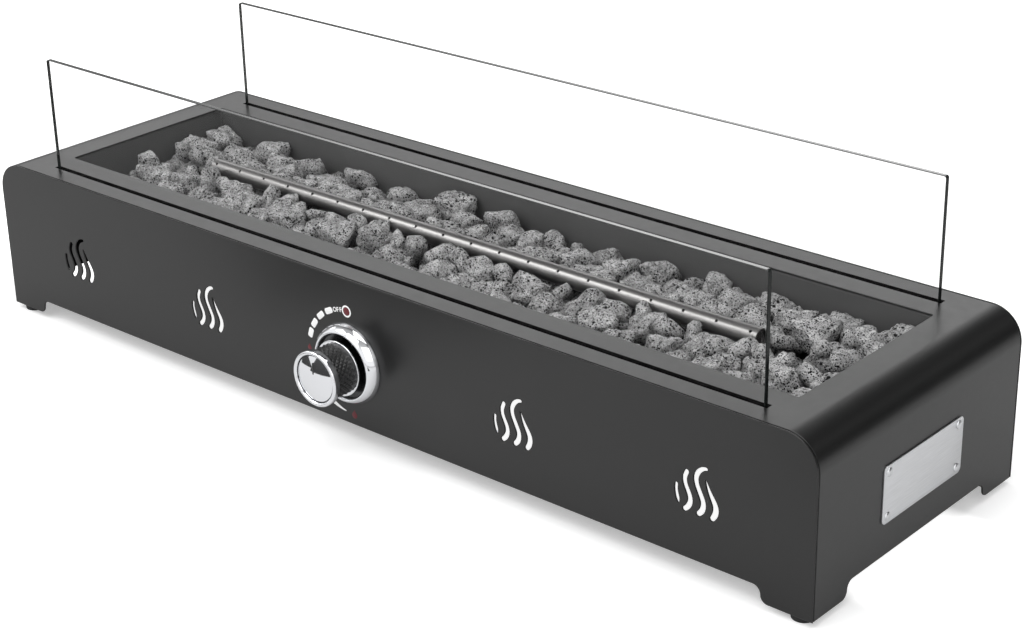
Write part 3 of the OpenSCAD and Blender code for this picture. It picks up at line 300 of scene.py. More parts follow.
def grip_plastic():
    """Black glass-filled nylon, moulded: a soft sheen on each diamond and a fine grain."""
    made, tree, shader, place = surface("moulded_nylon", {"Base Color": colours().grip, "IOR": 1.53})
    glossed(tree, shader, grain(tree, place, 1.2 * MM, 3), 0.32, 0.5)
    bump(tree, shader, grain(tree, place, 0.35 * MM, 2), 0.02 * MM, 0.4)
    return made


def foot_rubber():
    """Moulded rubber: nearly black, dull, with a dusty bloom."""
    made, tree, shader, place = surface("moulded_rubber", {"IOR": 1.52})
    bloom = grain(tree, place, 3 * MM, 4)
    mottled(tree, shader, bloom, colours().rubber, 1, 2.2, (0.35, 0.75))
    glossed(tree, shader, bloom, 0.62, 0.85)
    bump(tree, shader, grain(tree, place, 0.5 * MM, 2), 0.03 * MM, 0.5)
    return made


def pores(tree, place, size, least, most):
    """0 inside round pores about size apart and 1 outside them. They thin out in patches."""
    centres = add(tree, "ShaderNodeTexVoronoi", {"Vector": place, "Scale": 1 / size}).outputs["Distance"]
    sparse = {"Value": grain(tree, place, 3.5 * size, 2), "To Min": -0.3, "To Max": 0.3}
    patch = add(tree, "ShaderNodeMapRange", sparse).outputs["Result"]
    mixed = add(tree, "ShaderNodeMath", {0: centres, 1: patch}, operation="ADD").outputs[0]
    return add(tree, "ShaderNodeMapRange", {"Value": mixed, "From Min": least, "From Max": most}).outputs[0]


def lava_rock():
    """Scoria: gas bubbles froze in the lava, so each stone is full of dark pores 0.7 to 3 mm wide.
    Painted shade between the stones makes the bed darker towards its floor."""
    made, tree, shader, place = surface("lava_rock", {"Roughness": 0.93, "Specular IOR Level": 0.3})
    mottle = grain(tree, place, 9 * MM, 4, rough=0.65)
    grit = grain(tree, place, 1.3 * MM, 3, rough=0.75)
    shade, dark = colours().stone, colours().pore
    tones = [(0.3, tint(shade, 0.55)), (0.5, shade), (0.7, tint(shade, 1.5))]
    face = add(tree, "ShaderNodeValToRGB", {"Fac": mottle}, tones).outputs["Color"]
    grains = [(0.34, tint(shade, 0.25)), (0.5, [0.8, 0.8, 0.8, 1]), (0.66, [1.0] * 4)]
    speck = add(tree, "ShaderNodeValToRGB", {"Fac": grit}, grains).outputs["Color"]
    small = pores(tree, place, 1.7 * MM, 0.2, 0.38)
    large = pores(tree, place, 5.2 * MM, 0.11, 0.23)
    pore = add(tree, "ShaderNodeMath", {0: small, 1: large}, operation="MULTIPLY").outputs[0]
    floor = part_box("lava_rock_1")[0].z
    height = add(tree, "ShaderNodeSeparateXYZ", {"Vector": place}).outputs["Z"]
    # Painted shade: the colour falls to 8 % up to 10 mm above the bed's floor and comes back to full 38 mm
    # above it
    painted_shade_low, painted_shade_high = floor + 10 * MM, floor + 38 * MM
    painted_bed_shade = faded(tree, height, painted_shade_low, painted_shade_high, 0.08, 1.0)
    darken = {"data_type": "RGBA", "blend_type": "MULTIPLY"}
    peppered = add(tree, "ShaderNodeMix", {"Factor": 0.9, 6: face, 7: speck}, **darken).outputs[2]
    mixed = add(tree, "ShaderNodeMix", {"Factor": pore, 6: dark, 7: peppered}, data_type="RGBA").outputs[2]
    painted_shade_colour = add(tree, "ShaderNodeMix", {"Factor": 1.0, 6: mixed, 7: painted_bed_shade}, **darken).outputs[2]
    tree.links.new(painted_shade_colour, shader.inputs["Base Color"])
    depth = add(tree, "ShaderNodeMath", {0: pore, 1: grit}, operation="ADD").outputs[0]
    bump(tree, shader, depth, 1.1 * MM, 1.0)
    return made


def clear_glass():
    """Tempered float glass. Lamps shine through it, and its faces reflect little."""
    made, tree, shader, _ = surface(
        "tempered_glass",
        {"Base Color": linear("#f7f7f7"), "Roughness": 0.0, "IOR": 1.12, "Transmission Weight": 1.0},
    )
    through = add(tree, "ShaderNodeBsdfTransparent", {"Color": linear("#f4f4f4")}).outputs[0]
    lamp = add(tree, "ShaderNodeLightPath").outputs["Is Shadow Ray"]
    both = add(tree, "ShaderNodeMixShader", {"Fac": lamp, 1: shader.outputs[0], 2: through}).outputs[0]
    tree.links.new(both, tree.nodes["Material Output"].inputs["Surface"])
    return made


def ground_edge(name, ior, polish):
    """Ground edge of float glass: the iron in it shows as a dark grey green under a thin polish."""
    made, tree, shader, place = surface(name, {"IOR": ior, "Coat Weight": polish})
    lines = grain(tree, place, 2 * MM, 3)
    mottled(tree, shader, lines, linear("#1c1f1e"), 0.75, 1.25)
    glossed(tree, shader, lines, 0.08, 0.2)
    return made


def glass_edge():
    """Polished top and bottom edges of the glass."""
    return ground_edge("polished_glass_edge", 1.5, 0.6)


def glass_end():
    """Ground right ends of the glass, left matt."""
    return ground_edge("ground_glass_end", 1.2, 0.1)


def screen_ink(name, shade):
    """Screen-printed epoxy ink: a flat, slightly uneven film."""
    made, tree, shader, place = surface(name, {"IOR": 1.5})
    film = grain(tree, place, 0.6 * MM, 2)
    mottled(tree, shader, film, shade, 0.94, 1, (0.3, 0.6))
    glossed(tree, shader, film, 0.35, 0.5)
    return made


def white_ink():
    """White of the dial marks."""
    return screen_ink("white_screen_ink", colours().ink)


def red_ink():
    """Red of the dial marks, dimmed by the dark coat under it."""
    return screen_ink("red_screen_ink", colours().red_ink)


FINISHES = {
    "powder_coat": powder_coat,
    "pan_coat": pan_coat,
    "slot_primer": slot_primer,
    "zinc_steel": zinc_steel,
    "stainless": stainless,
    "cap_steel": cap_steel,
    "pipe_aluminium": pipe_aluminium,
    "brass": brass,
    "foot_rubber": foot_rubber,
    "clear_glass": clear_glass,
    "glass_edge": glass_edge,
    "glass_end": glass_end,
    "chrome": chrome,
    "dark_chrome": dark_chrome,
    "grip_plastic": grip_plastic,
    "plate_aluminium": plate_aluminium,
    "lava_rock": lava_rock,
    "white_ink": white_ink,
    "red_ink": red_ink,
}
made_finishes = {}


def finish(name):
    """The material of a finish, made once."""
    if name not in made_finishes:
        made_finishes[name] = FINISHES[name]()
    return made_finishes[name]


# ---------- Pieces and meshes ----------


def linked(name, data):
    """A new object in the scene that holds some data."""
    made = bpy.data.objects.new(name, data)
    bpy.context.collection.objects.link(made)
    return made


def piece(name, mesh, body, *finishes):
    """Puts a mesh in the scene with its finishes, riding on a body."""
    mesh.materials.clear()
    for one in finishes:
        mesh.materials.append(finish(one))
    made = linked(name, mesh)
    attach(made, body)
    return made


def stand_in(name, mesh, nodes, *finishes):
    """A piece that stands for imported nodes, in their finish unless others are given."""
    made = piece(name, mesh, BODY_OF[nodes[0]], *(finishes or [SLOT_OF[nodes[0]]]))
    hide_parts(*nodes)
    return made


def to_mesh(bm, name, angle=35):
    """Turns a bmesh into a mesh that is smooth except at edges sharper than the angle."""
    mesh = bpy.data.meshes.new(name)
    bm.to_mesh(mesh)
    bm.free()
    smooth(mesh, angle)
    return mesh


def smooth(mesh, angle=35):
    """Shades a mesh smooth except at edges sharper than the angle."""
    mesh.shade_smooth()
    mesh.set_sharp_from_angle(angle=math.radians(angle))


def merged(node):
    """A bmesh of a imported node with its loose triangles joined."""
    bm = bmesh.new()
    bm.from_mesh(frame["nodes"][node].data)
    bmesh.ops.remove_doubles(bm, verts=bm.verts, dist=0.001 * MM)
    return bm


def bevel(made, width, segments=2, angle=40):
    """Rounds the edges of a piece that are sharper than the angle."""
    rounding = made.modifiers.new("edges", "BEVEL")
    rounding.width = width
    rounding.segments = segments
    rounding.limit_method = "ANGLE"
    rounding.angle_limit = math.radians(angle)
    rounding.harden_normals = True
    return made


def dressed(node, edge, *finishes):
    """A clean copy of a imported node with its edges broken."""
    bm = merged(node)
    bmesh.ops.dissolve_limit(bm, angle_limit=math.radians(0.5), verts=bm.verts, edges=bm.edges)
    return bevel(stand_in("finished_" + node, to_mesh(bm, node), [node], *finishes), edge)


def spots(node):
    """Lowest and highest corners of each separate solid of a node, in order along X, Y and Z."""
    bm = merged(node)
    left = set(bm.verts)
    found = []
    while left:
        heap, group = [left.pop()], []
        while heap:
            vert = heap.pop()
            group.append(vert.co.copy())
            for edge in vert.link_edges:
                other = edge.other_vert(vert)
                if other in left:
                    left.remove(other)
                    heap.append(other)
        low = Vector([min(c[k] for c in group) for k in range(3)])
        high = Vector([max(c[k] for c in group) for k in range(3)])
        found.append((low, high))
    bm.free()
    return sorted(found, key=lambda pair: [round(part, 5) for part in (pair[0] + pair[1])])


def evaluated_mesh(made):
    """The final mesh of an object as plain data. The object is removed."""
    depsgraph = bpy.context.evaluated_depsgraph_get()
    mesh = bpy.data.meshes.new_from_object(made.evaluated_get(depsgraph))
    bpy.data.objects.remove(made)
    return mesh


def sheet(name, outlines, thickness, edge):
    """A flat sheet in the XY plane, its middle on z = 0. Inner outlines are holes."""
    curve = bpy.data.curves.new(name, "CURVE")
    curve.dimensions = "2D"
    curve.fill_mode = "BOTH"
    curve.extrude = thickness / 2 - edge
    curve.bevel_depth = edge
    curve.bevel_resolution = 1
    curve.offset = -edge
    for points in outlines:
        spline = curve.splines.new("POLY")
        spline.points.add(len(points) - 1)
        for point, (x, y) in zip(spline.points, points):
            point.co = (x, y, 0, 1)
        spline.use_cyclic_u = True
    mesh = evaluated_mesh(linked(name, curve))
    bm = bmesh.new()
    bm.from_mesh(mesh)
    bmesh.ops.remove_doubles(bm, verts=bm.verts, dist=0.002 * MM)
    bmesh.ops.recalc_face_normals(bm, faces=bm.faces)
    bm.to_mesh(mesh)
    bm.free()
    return mesh


def arc(cx, cy, r, start, end, steps):
    """Points on an arc, angles in degrees."""
    turns = [math.radians(start + (end - start) * i / steps) for i in range(steps + 1)]
    return [(cx + r * math.cos(a), cy + r * math.sin(a)) for a in turns]


def rounded_outline(half_l, half_w, r, steps=8):
    """Outline of a rectangle with round corners about the origin."""
    points = []
    for k, (sx, sy) in enumerate([(1, 1), (-1, 1), (-1, -1), (1, -1)]):
        points += arc(sx * (half_l - r), sy * (half_w - r), r, 90 * k, 90 * k + 90, steps)
    return points


def lower_edge(half):
    """The edge of a side between and under its legs, from one end to the other, as x and height."""
    flat, r = sizes().leg_flat, sizes().leg_radius
    leg = half - flat
    right = arc(leg - 2 * r, r, r, 90, 0, 6) + arc(leg, r, r, 180, 270, 6)[1:] + [(half, 0)]
    return [(-x, z) for x, z in reversed(right)] + right


def polar(r, angle, height):
    """A point round the Z axis, its angle in radians."""
    return (r * math.cos(angle), r * math.sin(angle), height)


def bridge(bm, rings):
    """Closes the wall between each ring of points and the next."""
    for low, high in zip(rings, rings[1:]):
        for i in range(len(low)):
            j = (i + 1) % len(low)
            bm.faces.new((low[i], low[j], high[j], high[i]))


def lathe(profile, segments=96):
    """A bmesh turned about Z from points of radius and height. A radius of 0 closes an end."""
    bm = bmesh.new()
    rings = []
    for r, h in profile:
        if r < 1e-7:
            rings.append([bm.verts.new((0, 0, h))])
            continue
        turns = [2 * math.pi * i / segments for i in range(segments)]
        rings.append([bm.verts.new(polar(r, a, h)) for a in turns])
    for low, high in zip(rings, rings[1:]):
        for i in range(segments):
            j = (i + 1) % segments
            corners = [low[i % len(low)], low[j % len(low)], high[j % len(high)], high[i % len(high)]]
            unique = list(dict.fromkeys(corners))
            if len(unique) > 2:
                bm.faces.new(unique)
    return bm


def ring_lathe(profile, segments=96):
    """A lathe whose profile closes on itself, as round a bore."""
    bm = lathe(profile + profile[:1], segments)
    bmesh.ops.remove_doubles(bm, verts=bm.verts, dist=0.001 * MM)
    bmesh.ops.recalc_face_normals(bm, faces=bm.faces)
    return bm


def fillet(points, r, steps=4):
    """Rounds the inner points of an open profile."""
    rounded = [points[0]]
    for before, corner, after in zip(points, points[1:], points[2:]):
        a, b, c = Vector(before), Vector(corner), Vector(after)
        reach = min(r, (a - b).length / 2, (c - b).length / 2)
        start, end = b + (a - b).normalized() * reach, b + (c - b).normalized() * reach
        for i in range(steps + 1):
            t = i / steps
            rounded.append(tuple(start * (1 - t) ** 2 + b * 2 * t * (1 - t) + end * t**2))
    return rounded + [points[-1]]


def middle(node):
    """Middle of a node's box."""
    low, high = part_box(node)
    return (low + high) / 2


def facing_front(x, y, z):
    """A matrix that stands what was drawn in the XY plane upright at a point, its +Z to the front."""
    return Matrix(((1, 0, 0, x), (0, 0, -1, y), (0, 1, 0, z), (0, 0, 0, 1)))


# ---------- Repeats by Geometry Nodes ----------


def repeat_tree(name, scatter):
    """A tree that puts a model on points. With scatter, the points spread over a face by a fixed seed."""
    tree = bpy.data.node_groups.new(name, "GeometryNodeTree")
    face = tree.interface
    face.new_socket("Geometry", in_out="OUTPUT", socket_type="NodeSocketGeometry")
    face.new_socket("Geometry", in_out="INPUT", socket_type="NodeSocketGeometry")
    face.new_socket("Model", in_out="INPUT", socket_type="NodeSocketObject")
    face.new_socket("Finish", in_out="INPUT", socket_type="NodeSocketMaterial")
    if scatter:
        for label in ("Spacing", "Smallest", "Largest"):
            face.new_socket(label, in_out="INPUT", socket_type="NodeSocketFloat")
        face.new_socket("Seed", in_out="INPUT", socket_type="NodeSocketInt")
    given = add(tree, "NodeGroupInput").outputs
    model = add(tree, "GeometryNodeObjectInfo", {"Object": given["Model"]}).outputs["Geometry"]
    if scatter:
        bed = {"Mesh": given["Geometry"], "Distance Min": given["Spacing"], "Density Max": 1e6}
        bed["Seed"] = given["Seed"]
        spaced = "GeometryNodeDistributePointsOnFaces"
        points = add(tree, spaced, bed, distribute_method="POISSON").outputs["Points"]
        turns = {0: (0, 0, 0), 1: (2 * math.pi,) * 3, "Seed": given["Seed"]}
        turn = add(tree, "FunctionNodeRandomValue", turns, data_type="FLOAT_VECTOR").outputs[0]
        spans = {2: given["Smallest"], 3: given["Largest"], "Seed": given["Seed"]}
        size = add(tree, "FunctionNodeRandomValue", spans, data_type="FLOAT").outputs[1]
        placed = {"Rotation": turn, "Scale": size}
    else:
        points = add(tree, "GeometryNodeMeshToPoints", {"Mesh": given["Geometry"]}).outputs[0]
        turn = {"Name": "turn"}
        aim = add(tree, "GeometryNodeInputNamedAttribute", turn, data_type="FLOAT_VECTOR").outputs[0]
        placed = {"Rotation": aim}
    spread = add(tree, "GeometryNodeInstanceOnPoints", {"Points": points, "Instance": model, **placed})
    real = add(tree, "GeometryNodeRealizeInstances", {"Geometry": spread.outputs[0]}).outputs[0]
    coat = {"Geometry": real, "Material": given["Finish"]}
    finished = add(tree, "GeometryNodeSetMaterial", coat).outputs[0]
    add(tree, "NodeGroupOutput", {"Geometry": finished})
    return tree


def run_tree(tree, base, values):
    """Runs a tree on a mesh with its inputs set by name, and returns the plain mesh that it makes."""
    holder = linked(tree.name, base)
    modifier = holder.modifiers.new("repeat", "NODES")
    modifier.node_group = tree
    for socket in tree.interface.items_tree:
        if socket.name in values:
            modifier[socket.identifier] = values[socket.name]
    return evaluated_mesh(holder)


def repeat(nodes, model, places, name=None, angle=35):
    """Stands one model on each place, a point and a direction, for a node of like pieces."""
    base = bpy.data.meshes.new("places")
    base.from_pydata([tuple(at) for at, direction in places], [], [])
    turns = base.attributes.new("turn", "FLOAT_VECTOR", "POINT")
    for item, (at, direction) in zip(turns.data, places):
        item.vector = Vector(direction).to_track_quat("Z", "Y").to_euler()
    master = linked("master", model)
    tree = bpy.data.node_groups.get("Models on points") or repeat_tree("Models on points", False)
    values = {"Model": master, "Finish": finish(SLOT_OF[nodes[0]])}
    mesh = run_tree(tree, base, values)
    bpy.data.objects.remove(master)
    smooth(mesh, angle)
    return stand_in(name or "finished_" + nodes[0], mesh, nodes)


# ---------- Casing ----------


def face_outlines(node, axis, level):
    """Outlines of the holes in a node's flat face at a level along an axis, as its other two axes."""
    bm = merged(node)
    first, second = [k for k in range(3) if k != axis]
    face = {f for f in bm.faces if all(abs(v.co[axis] - level) < 0.01 * MM for v in f.verts)}
    rim = [e for e in bm.edges if sum(f in face for f in e.link_faces) == 1]
    ways = {}
    for edge in rim:
        for vert in edge.verts:
            ways.setdefault(vert, []).append(edge.other_vert(vert))
    loops = []
    while ways:
        start = next(iter(ways))
        loop, here = [], start
        while here in ways:
            options = ways.pop(here)
            loop.append((here.co[first], here.co[second]))
            here = next((v for v in options if v in ways), start)
        loops.append(loop)
    bm.free()
    loops.sort(key=lambda loop: max(p[0] for p in loop) - min(p[0] for p in loop))
    return loops[:-1]


def panel_mesh(node, front):
    """A long side of the casing: its rim from the bends and legs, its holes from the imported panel."""
    low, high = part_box(node)
    centre = (low + high) / 2
    half, r = (high.x - low.x) / 2, sizes().bend_radius
    top = high.z - low.z
    rim = lower_edge(half) + arc(half - r, top - r, r, 0, 90, 24) + arc(-half + r, top - r, r, 90, 180, 24)
    level = low.y if front else high.y
    holes = [[(x - centre.x, z - low.z) for x, z in loop] for loop in face_outlines(node, 1, level)]
    mesh = sheet(node, [rim] + holes, high.y - low.y, sizes().sheet_edge)
    mesh.transform(facing_front(centre.x, centre.y, low.z))
    smooth(mesh, 20)
    return mesh


class FIREPIT_OT_panels(bpy.types.Operator):
    """Makes the two long sides of the casing, with their vents and legs"""

    bl_idname = "firepit.panels"
    bl_label = "Front and rear panels"

    def execute(self, context):
        for node in ("front_panel", "rear_panel"):
            stand_in("finished_" + node, panel_mesh(node, node == "front_panel"), [node])
        return {"FINISHED"}


def wrapped(point, half, rise, r, thickness):
    """Bends a point of the flat cover: s along it from the middle, y across it, t below its skin."""
    s, y, t = point.x, point.y, thickness / 2 - point.z
    side = 1 if s > 0 else -1
    run = abs(s) - (half - r)
    if run <= 0:
        return Vector((s, y, rise - t))
    angle = run / r
    if angle >= math.pi / 2:
        return Vector((side * (half - t), y, rise - r - (run - r * math.pi / 2)))
    return Vector((side * (half - r + (r - t) * math.sin(angle)), y, rise - r + (r - t) * math.cos(angle)))


class FIREPIT_OT_cover(bpy.types.Operator):
    """Makes the top and ends of the casing as one sheet with bent ends, the opening and the slots"""

    bl_idname = "firepit.cover"
    bl_label = "Cover"

    def execute(self, context):
        low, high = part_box("wrap_cover")
        centre = (low + high) / 2
        half, r = (high.x - low.x) / 2, sizes().bend_radius
        rise, half_y = high.z - low.z, (high.y - low.y) / 2
        thickness = high.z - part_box("fire_pan")[1].z
        reach = half - r + r * math.pi / 2 + rise - r
        side_half = (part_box("front_panel")[0].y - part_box("rear_panel")[1].y) / -2
        edge = lower_edge(side_half)
        rim = [(reach - z, y) for y, z in edge] + [(z - reach, -y) for y, z in edge]
        seam = half_y - sizes().seam
        rim = [(x, max(-seam, min(seam, y))) for x, y in rim]
        loops = face_outlines("wrap_cover", 2, high.z)
        holes = [[(x - centre.x, y - centre.y) for x, y in loop] for loop in loops]
        mesh = sheet("wrap_cover", [rim] + holes, thickness, sizes().sheet_edge)
        bm = bmesh.new()
        bm.from_mesh(mesh)
        bend_steps = 28
        for side in (-1, 1):
            for i in range(bend_steps + 1):
                cut = side * (half - r + r * math.pi / 2 * i / bend_steps)
                everything = list(bm.verts) + list(bm.edges) + list(bm.faces)
                bmesh.ops.bisect_plane(bm, geom=everything, plane_co=(cut, 0, 0), plane_no=(1, 0, 0))
        for vert in bm.verts:
            vert.co = wrapped(vert.co, half, rise, r, thickness) + Vector((centre.x, centre.y, low.z))
        bm.to_mesh(mesh)
        bm.free()
        smooth(mesh, 20)
        stand_in("finished_wrap_cover", mesh, ["wrap_cover"], "powder_coat", "slot_primer")
        # Painted shade: the faces that aren't flat on top, in and beside the glass slots, take the dark coat
        flat = 0.98
        for face in mesh.polygons:
            face.material_index = int(face.normal.z < flat and self.in_slot(face.center))
        return {"FINISHED"}

    @staticmethod
    def in_slot(at):
        """Whether a point lies in or beside a slot for the glass."""
        beside, past = 1.5 * MM, 3 * MM
        for node in ("glass_front", "glass_rear"):
            low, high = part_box(node)
            if low.y - beside < at.y < high.y + beside and low.x - past < at.x < high.x + past:
                return True
        return False


class FIREPIT_OT_plate(bpy.types.Operator):
    """Makes the bare brushed plate on the right end and the rivets that hold it"""

    bl_idname = "firepit.plate"
    bl_label = "Plate and rivets"

    def execute(self, context):
        low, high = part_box("side_plate")
        corner, edge = 4 * MM, 0.25 * MM
        outline = rounded_outline((high.y - low.y) / 2, (high.z - low.z) / 2, corner)
        mesh = sheet("side_plate", [outline], high.x - low.x, edge)
        mesh.transform(Matrix(((0, 0, 1, 0), (1, 0, 0, 0), (0, 1, 0, 0), (0, 0, 0, 1))))
        mesh.transform(Matrix.Translation((low + high) / 2))
        smooth(mesh)
        stand_in("finished_side_plate", mesh, ["side_plate"])
        self.rivets()
        return {"FINISHED"}

    @staticmethod
    def rivets():
        """A domed head, a shank and a closed tail, on each corner of the plate."""
        places = spots("plate_rivets")
        low, high = places[0]
        head, total = (high.y - low.y) / 2, high.x - low.x
        dome, tail_t, shank = 1.3 * MM, 1.2 * MM, 1.6 * MM
        tail, steps = 0.75 * head, 8
        profile = [(0, 0), (tail, 0), (tail, tail_t), (shank, tail_t), (shank, total - dome)]
        for i in range(steps):
            a = math.pi / 2 * i / steps
            profile.append((head * math.cos(a), total - dome + dome * math.sin(a)))
        profile.append((0, total))
        model = to_mesh(lathe(profile, 32), "rivet")
        at = [(Vector((a.x, (a.y + b.y) / 2, (a.z + b.z) / 2)), (1, 0, 0)) for a, b in places]
        repeat(["plate_rivets"], model, at)


# ---------- Pan, glass and burner ----------


class FIREPIT_OT_pan(bpy.types.Operator):
    """Makes the drawn fire pan with its rounded floor and flange"""

    bl_idname = "firepit.pan"
    bl_label = "Fire pan"

    def execute(self, context):
        low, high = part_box("fire_pan")
        centre = (low + high) / 2
        mouth = face_outlines("fire_pan", 2, high.z)[-1]
        half_l, half_w = (max(point[k] for point in mouth) - centre[k] for k in range(2))
        thickness, r, least_corner = 1.2 * MM, sizes().pan_bend, 1.5 * MM
        flange = (high.x - low.x) / 2 - half_l
        depth = high.z - low.z - thickness
        # The flange, its bend over the edge of the opening, the wall and the bend round the floor
        profile = [(flange, 0), (1.2 * MM, 0), (0.6 * MM, -0.15 * MM), (0.15 * MM, -0.6 * MM)]
        profile += [(0, -1.4 * MM), (0, -depth + r)]
        steps = 6
        for i in range(1, steps + 1):
            a = math.pi / 2 * i / steps
            profile.append((-r + r * math.cos(a), -depth + r - r * math.sin(a)))
        bm = bmesh.new()
        rings = []
        for out, down in profile:
            corner = max(sizes().opening_radius + out, least_corner)
            outline = rounded_outline(half_l + out, half_w + out, corner)
            rings.append([bm.verts.new((centre.x + x, centre.y + y, high.z + down)) for x, y in outline])
        bridge(bm, rings)
        bm.faces.new(rings[-1])
        made = stand_in("finished_fire_pan", to_mesh(bm, "fire_pan", 50), ["fire_pan"])
        wall = made.modifiers.new("sheet", "SOLIDIFY")
        wall.thickness = thickness
        wall.offset = -1
        return {"FINISHED"}


class FIREPIT_OT_glass(bpy.types.Operator):
    """Makes the two tempered glass panels with ground edges"""

    bl_idname = "firepit.glass"
    bl_label = "Glass panels"

    def execute(self, context):
        for node in ("glass_front", "glass_rear"):
            low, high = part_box(node)
            centre = (low + high) / 2
            outline = rounded_outline((high.x - low.x) / 2, (high.z - low.z) / 2, 2 * MM, 6)
            mesh = sheet(node, [outline], high.y - low.y, sizes().glass_edge)
            mesh.transform(facing_front(*centre))
            smooth(mesh, 20)
            stand_in("finished_" + node, mesh, [node], "clear_glass", "glass_edge", "glass_end")
            for face in mesh.polygons:
                flat, end = abs(face.normal.y) > 0.999, face.normal.x > 0.9
                face.material_index = 0 if flat else 2 if end else 1
        return {"FINISHED"}


class FIREPIT_OT_burner(bpy.types.Operator):
    """Makes the burner tube with its ports, and its end caps"""

    bl_idname = "firepit.burner"
    bl_label = "Burner"

    def execute(self, context):
        dressed("burner_tube", 0.12 * MM)
        places = spots("burner_end_caps")
        low, high = places[0]
        r, deep = (high.y - low.y) / 2, high.x - low.x
        dish = 0.6 * MM
        profile = [(0, 0), (r, 0), (r, deep - dish), (r - dish, deep), (r - 2 * dish, deep)]
        profile += [(r - 3 * dish, deep - dish), (0, deep - dish)]
        model = to_mesh(lathe(profile, 64), "end_cap")
        at = []
        for (a, b), way in zip(places, (-1, 1)):
            start = b.x if way < 0 else a.x
            at.append((Vector((start, (a.y + b.y) / 2, (a.z + b.z) / 2)), (way, 0, 0)))
        repeat(["burner_end_caps"], model, at)
        return {"FINISHED"}


# ---------- Knob ----------


def knob_axis():
    """X and Z of the knob's axis."""
    at = middle("knob_cap")
    return at.x, at.z


def on_knob(bm, name, back, angle=35):
    """Places what was turned about Z on the knob's axis, growing out of the panel from y = back."""
    x, z = knob_axis()
    mesh = to_mesh(bm, name, angle)
    mesh.transform(facing_front(x, back, z))
    return mesh


class FIREPIT_OT_bezel(bpy.types.Operator):
    """Makes the chrome dish round the knob"""

    bl_idname = "firepit.bezel"
    bl_label = "Bezel"

    def execute(self, context):
        low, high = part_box("knob_bezel")
        r, rise = (high.x - low.x) / 2, high.y - low.y
        floor, bore, dark = 4 * MM, 9.8 * MM, 6.6 * MM
        # In from the rim and out from the panel, in millimetres: up the flank, over the crest, into the dish
        flank = [(0.3, 0), (0.05, 0.35), (0.1, 1), (0.55, 2.6), (1.35, 4.5), (2.5, 6.5), (3.8, 8.1)]
        flank += [(4.7, 8.8), (5.3, 9.1), (5.7, 9.15), (6.05, 8.95), (6.3, 8.5), (6.5, 7.6), (6.9, 6)]
        crest = max(z for x, z in flank)
        profile = [(bore, 0)] + [(r - x * MM, rise * z / crest) for x, z in flank]
        profile += [(r - 7.3 * MM, floor + 0.4 * MM), (r - 8.1 * MM, floor), (bore, floor)]
        mesh = on_knob(ring_lathe(profile, 128), "knob_bezel", high.y, 40)
        stand_in("finished_knob_bezel", mesh, ["knob_bezel"], "chrome", "dark_chrome")
        # Painted shade: the dish's floor, the lower part of its inner wall and the back take the darkened
        # chrome
        x, z = knob_axis()
        for face in mesh.polygons:
            out = math.hypot(face.center.x - x, face.center.z - z)
            face.material_index = int(out < r - dark)
        return {"FINISHED"}


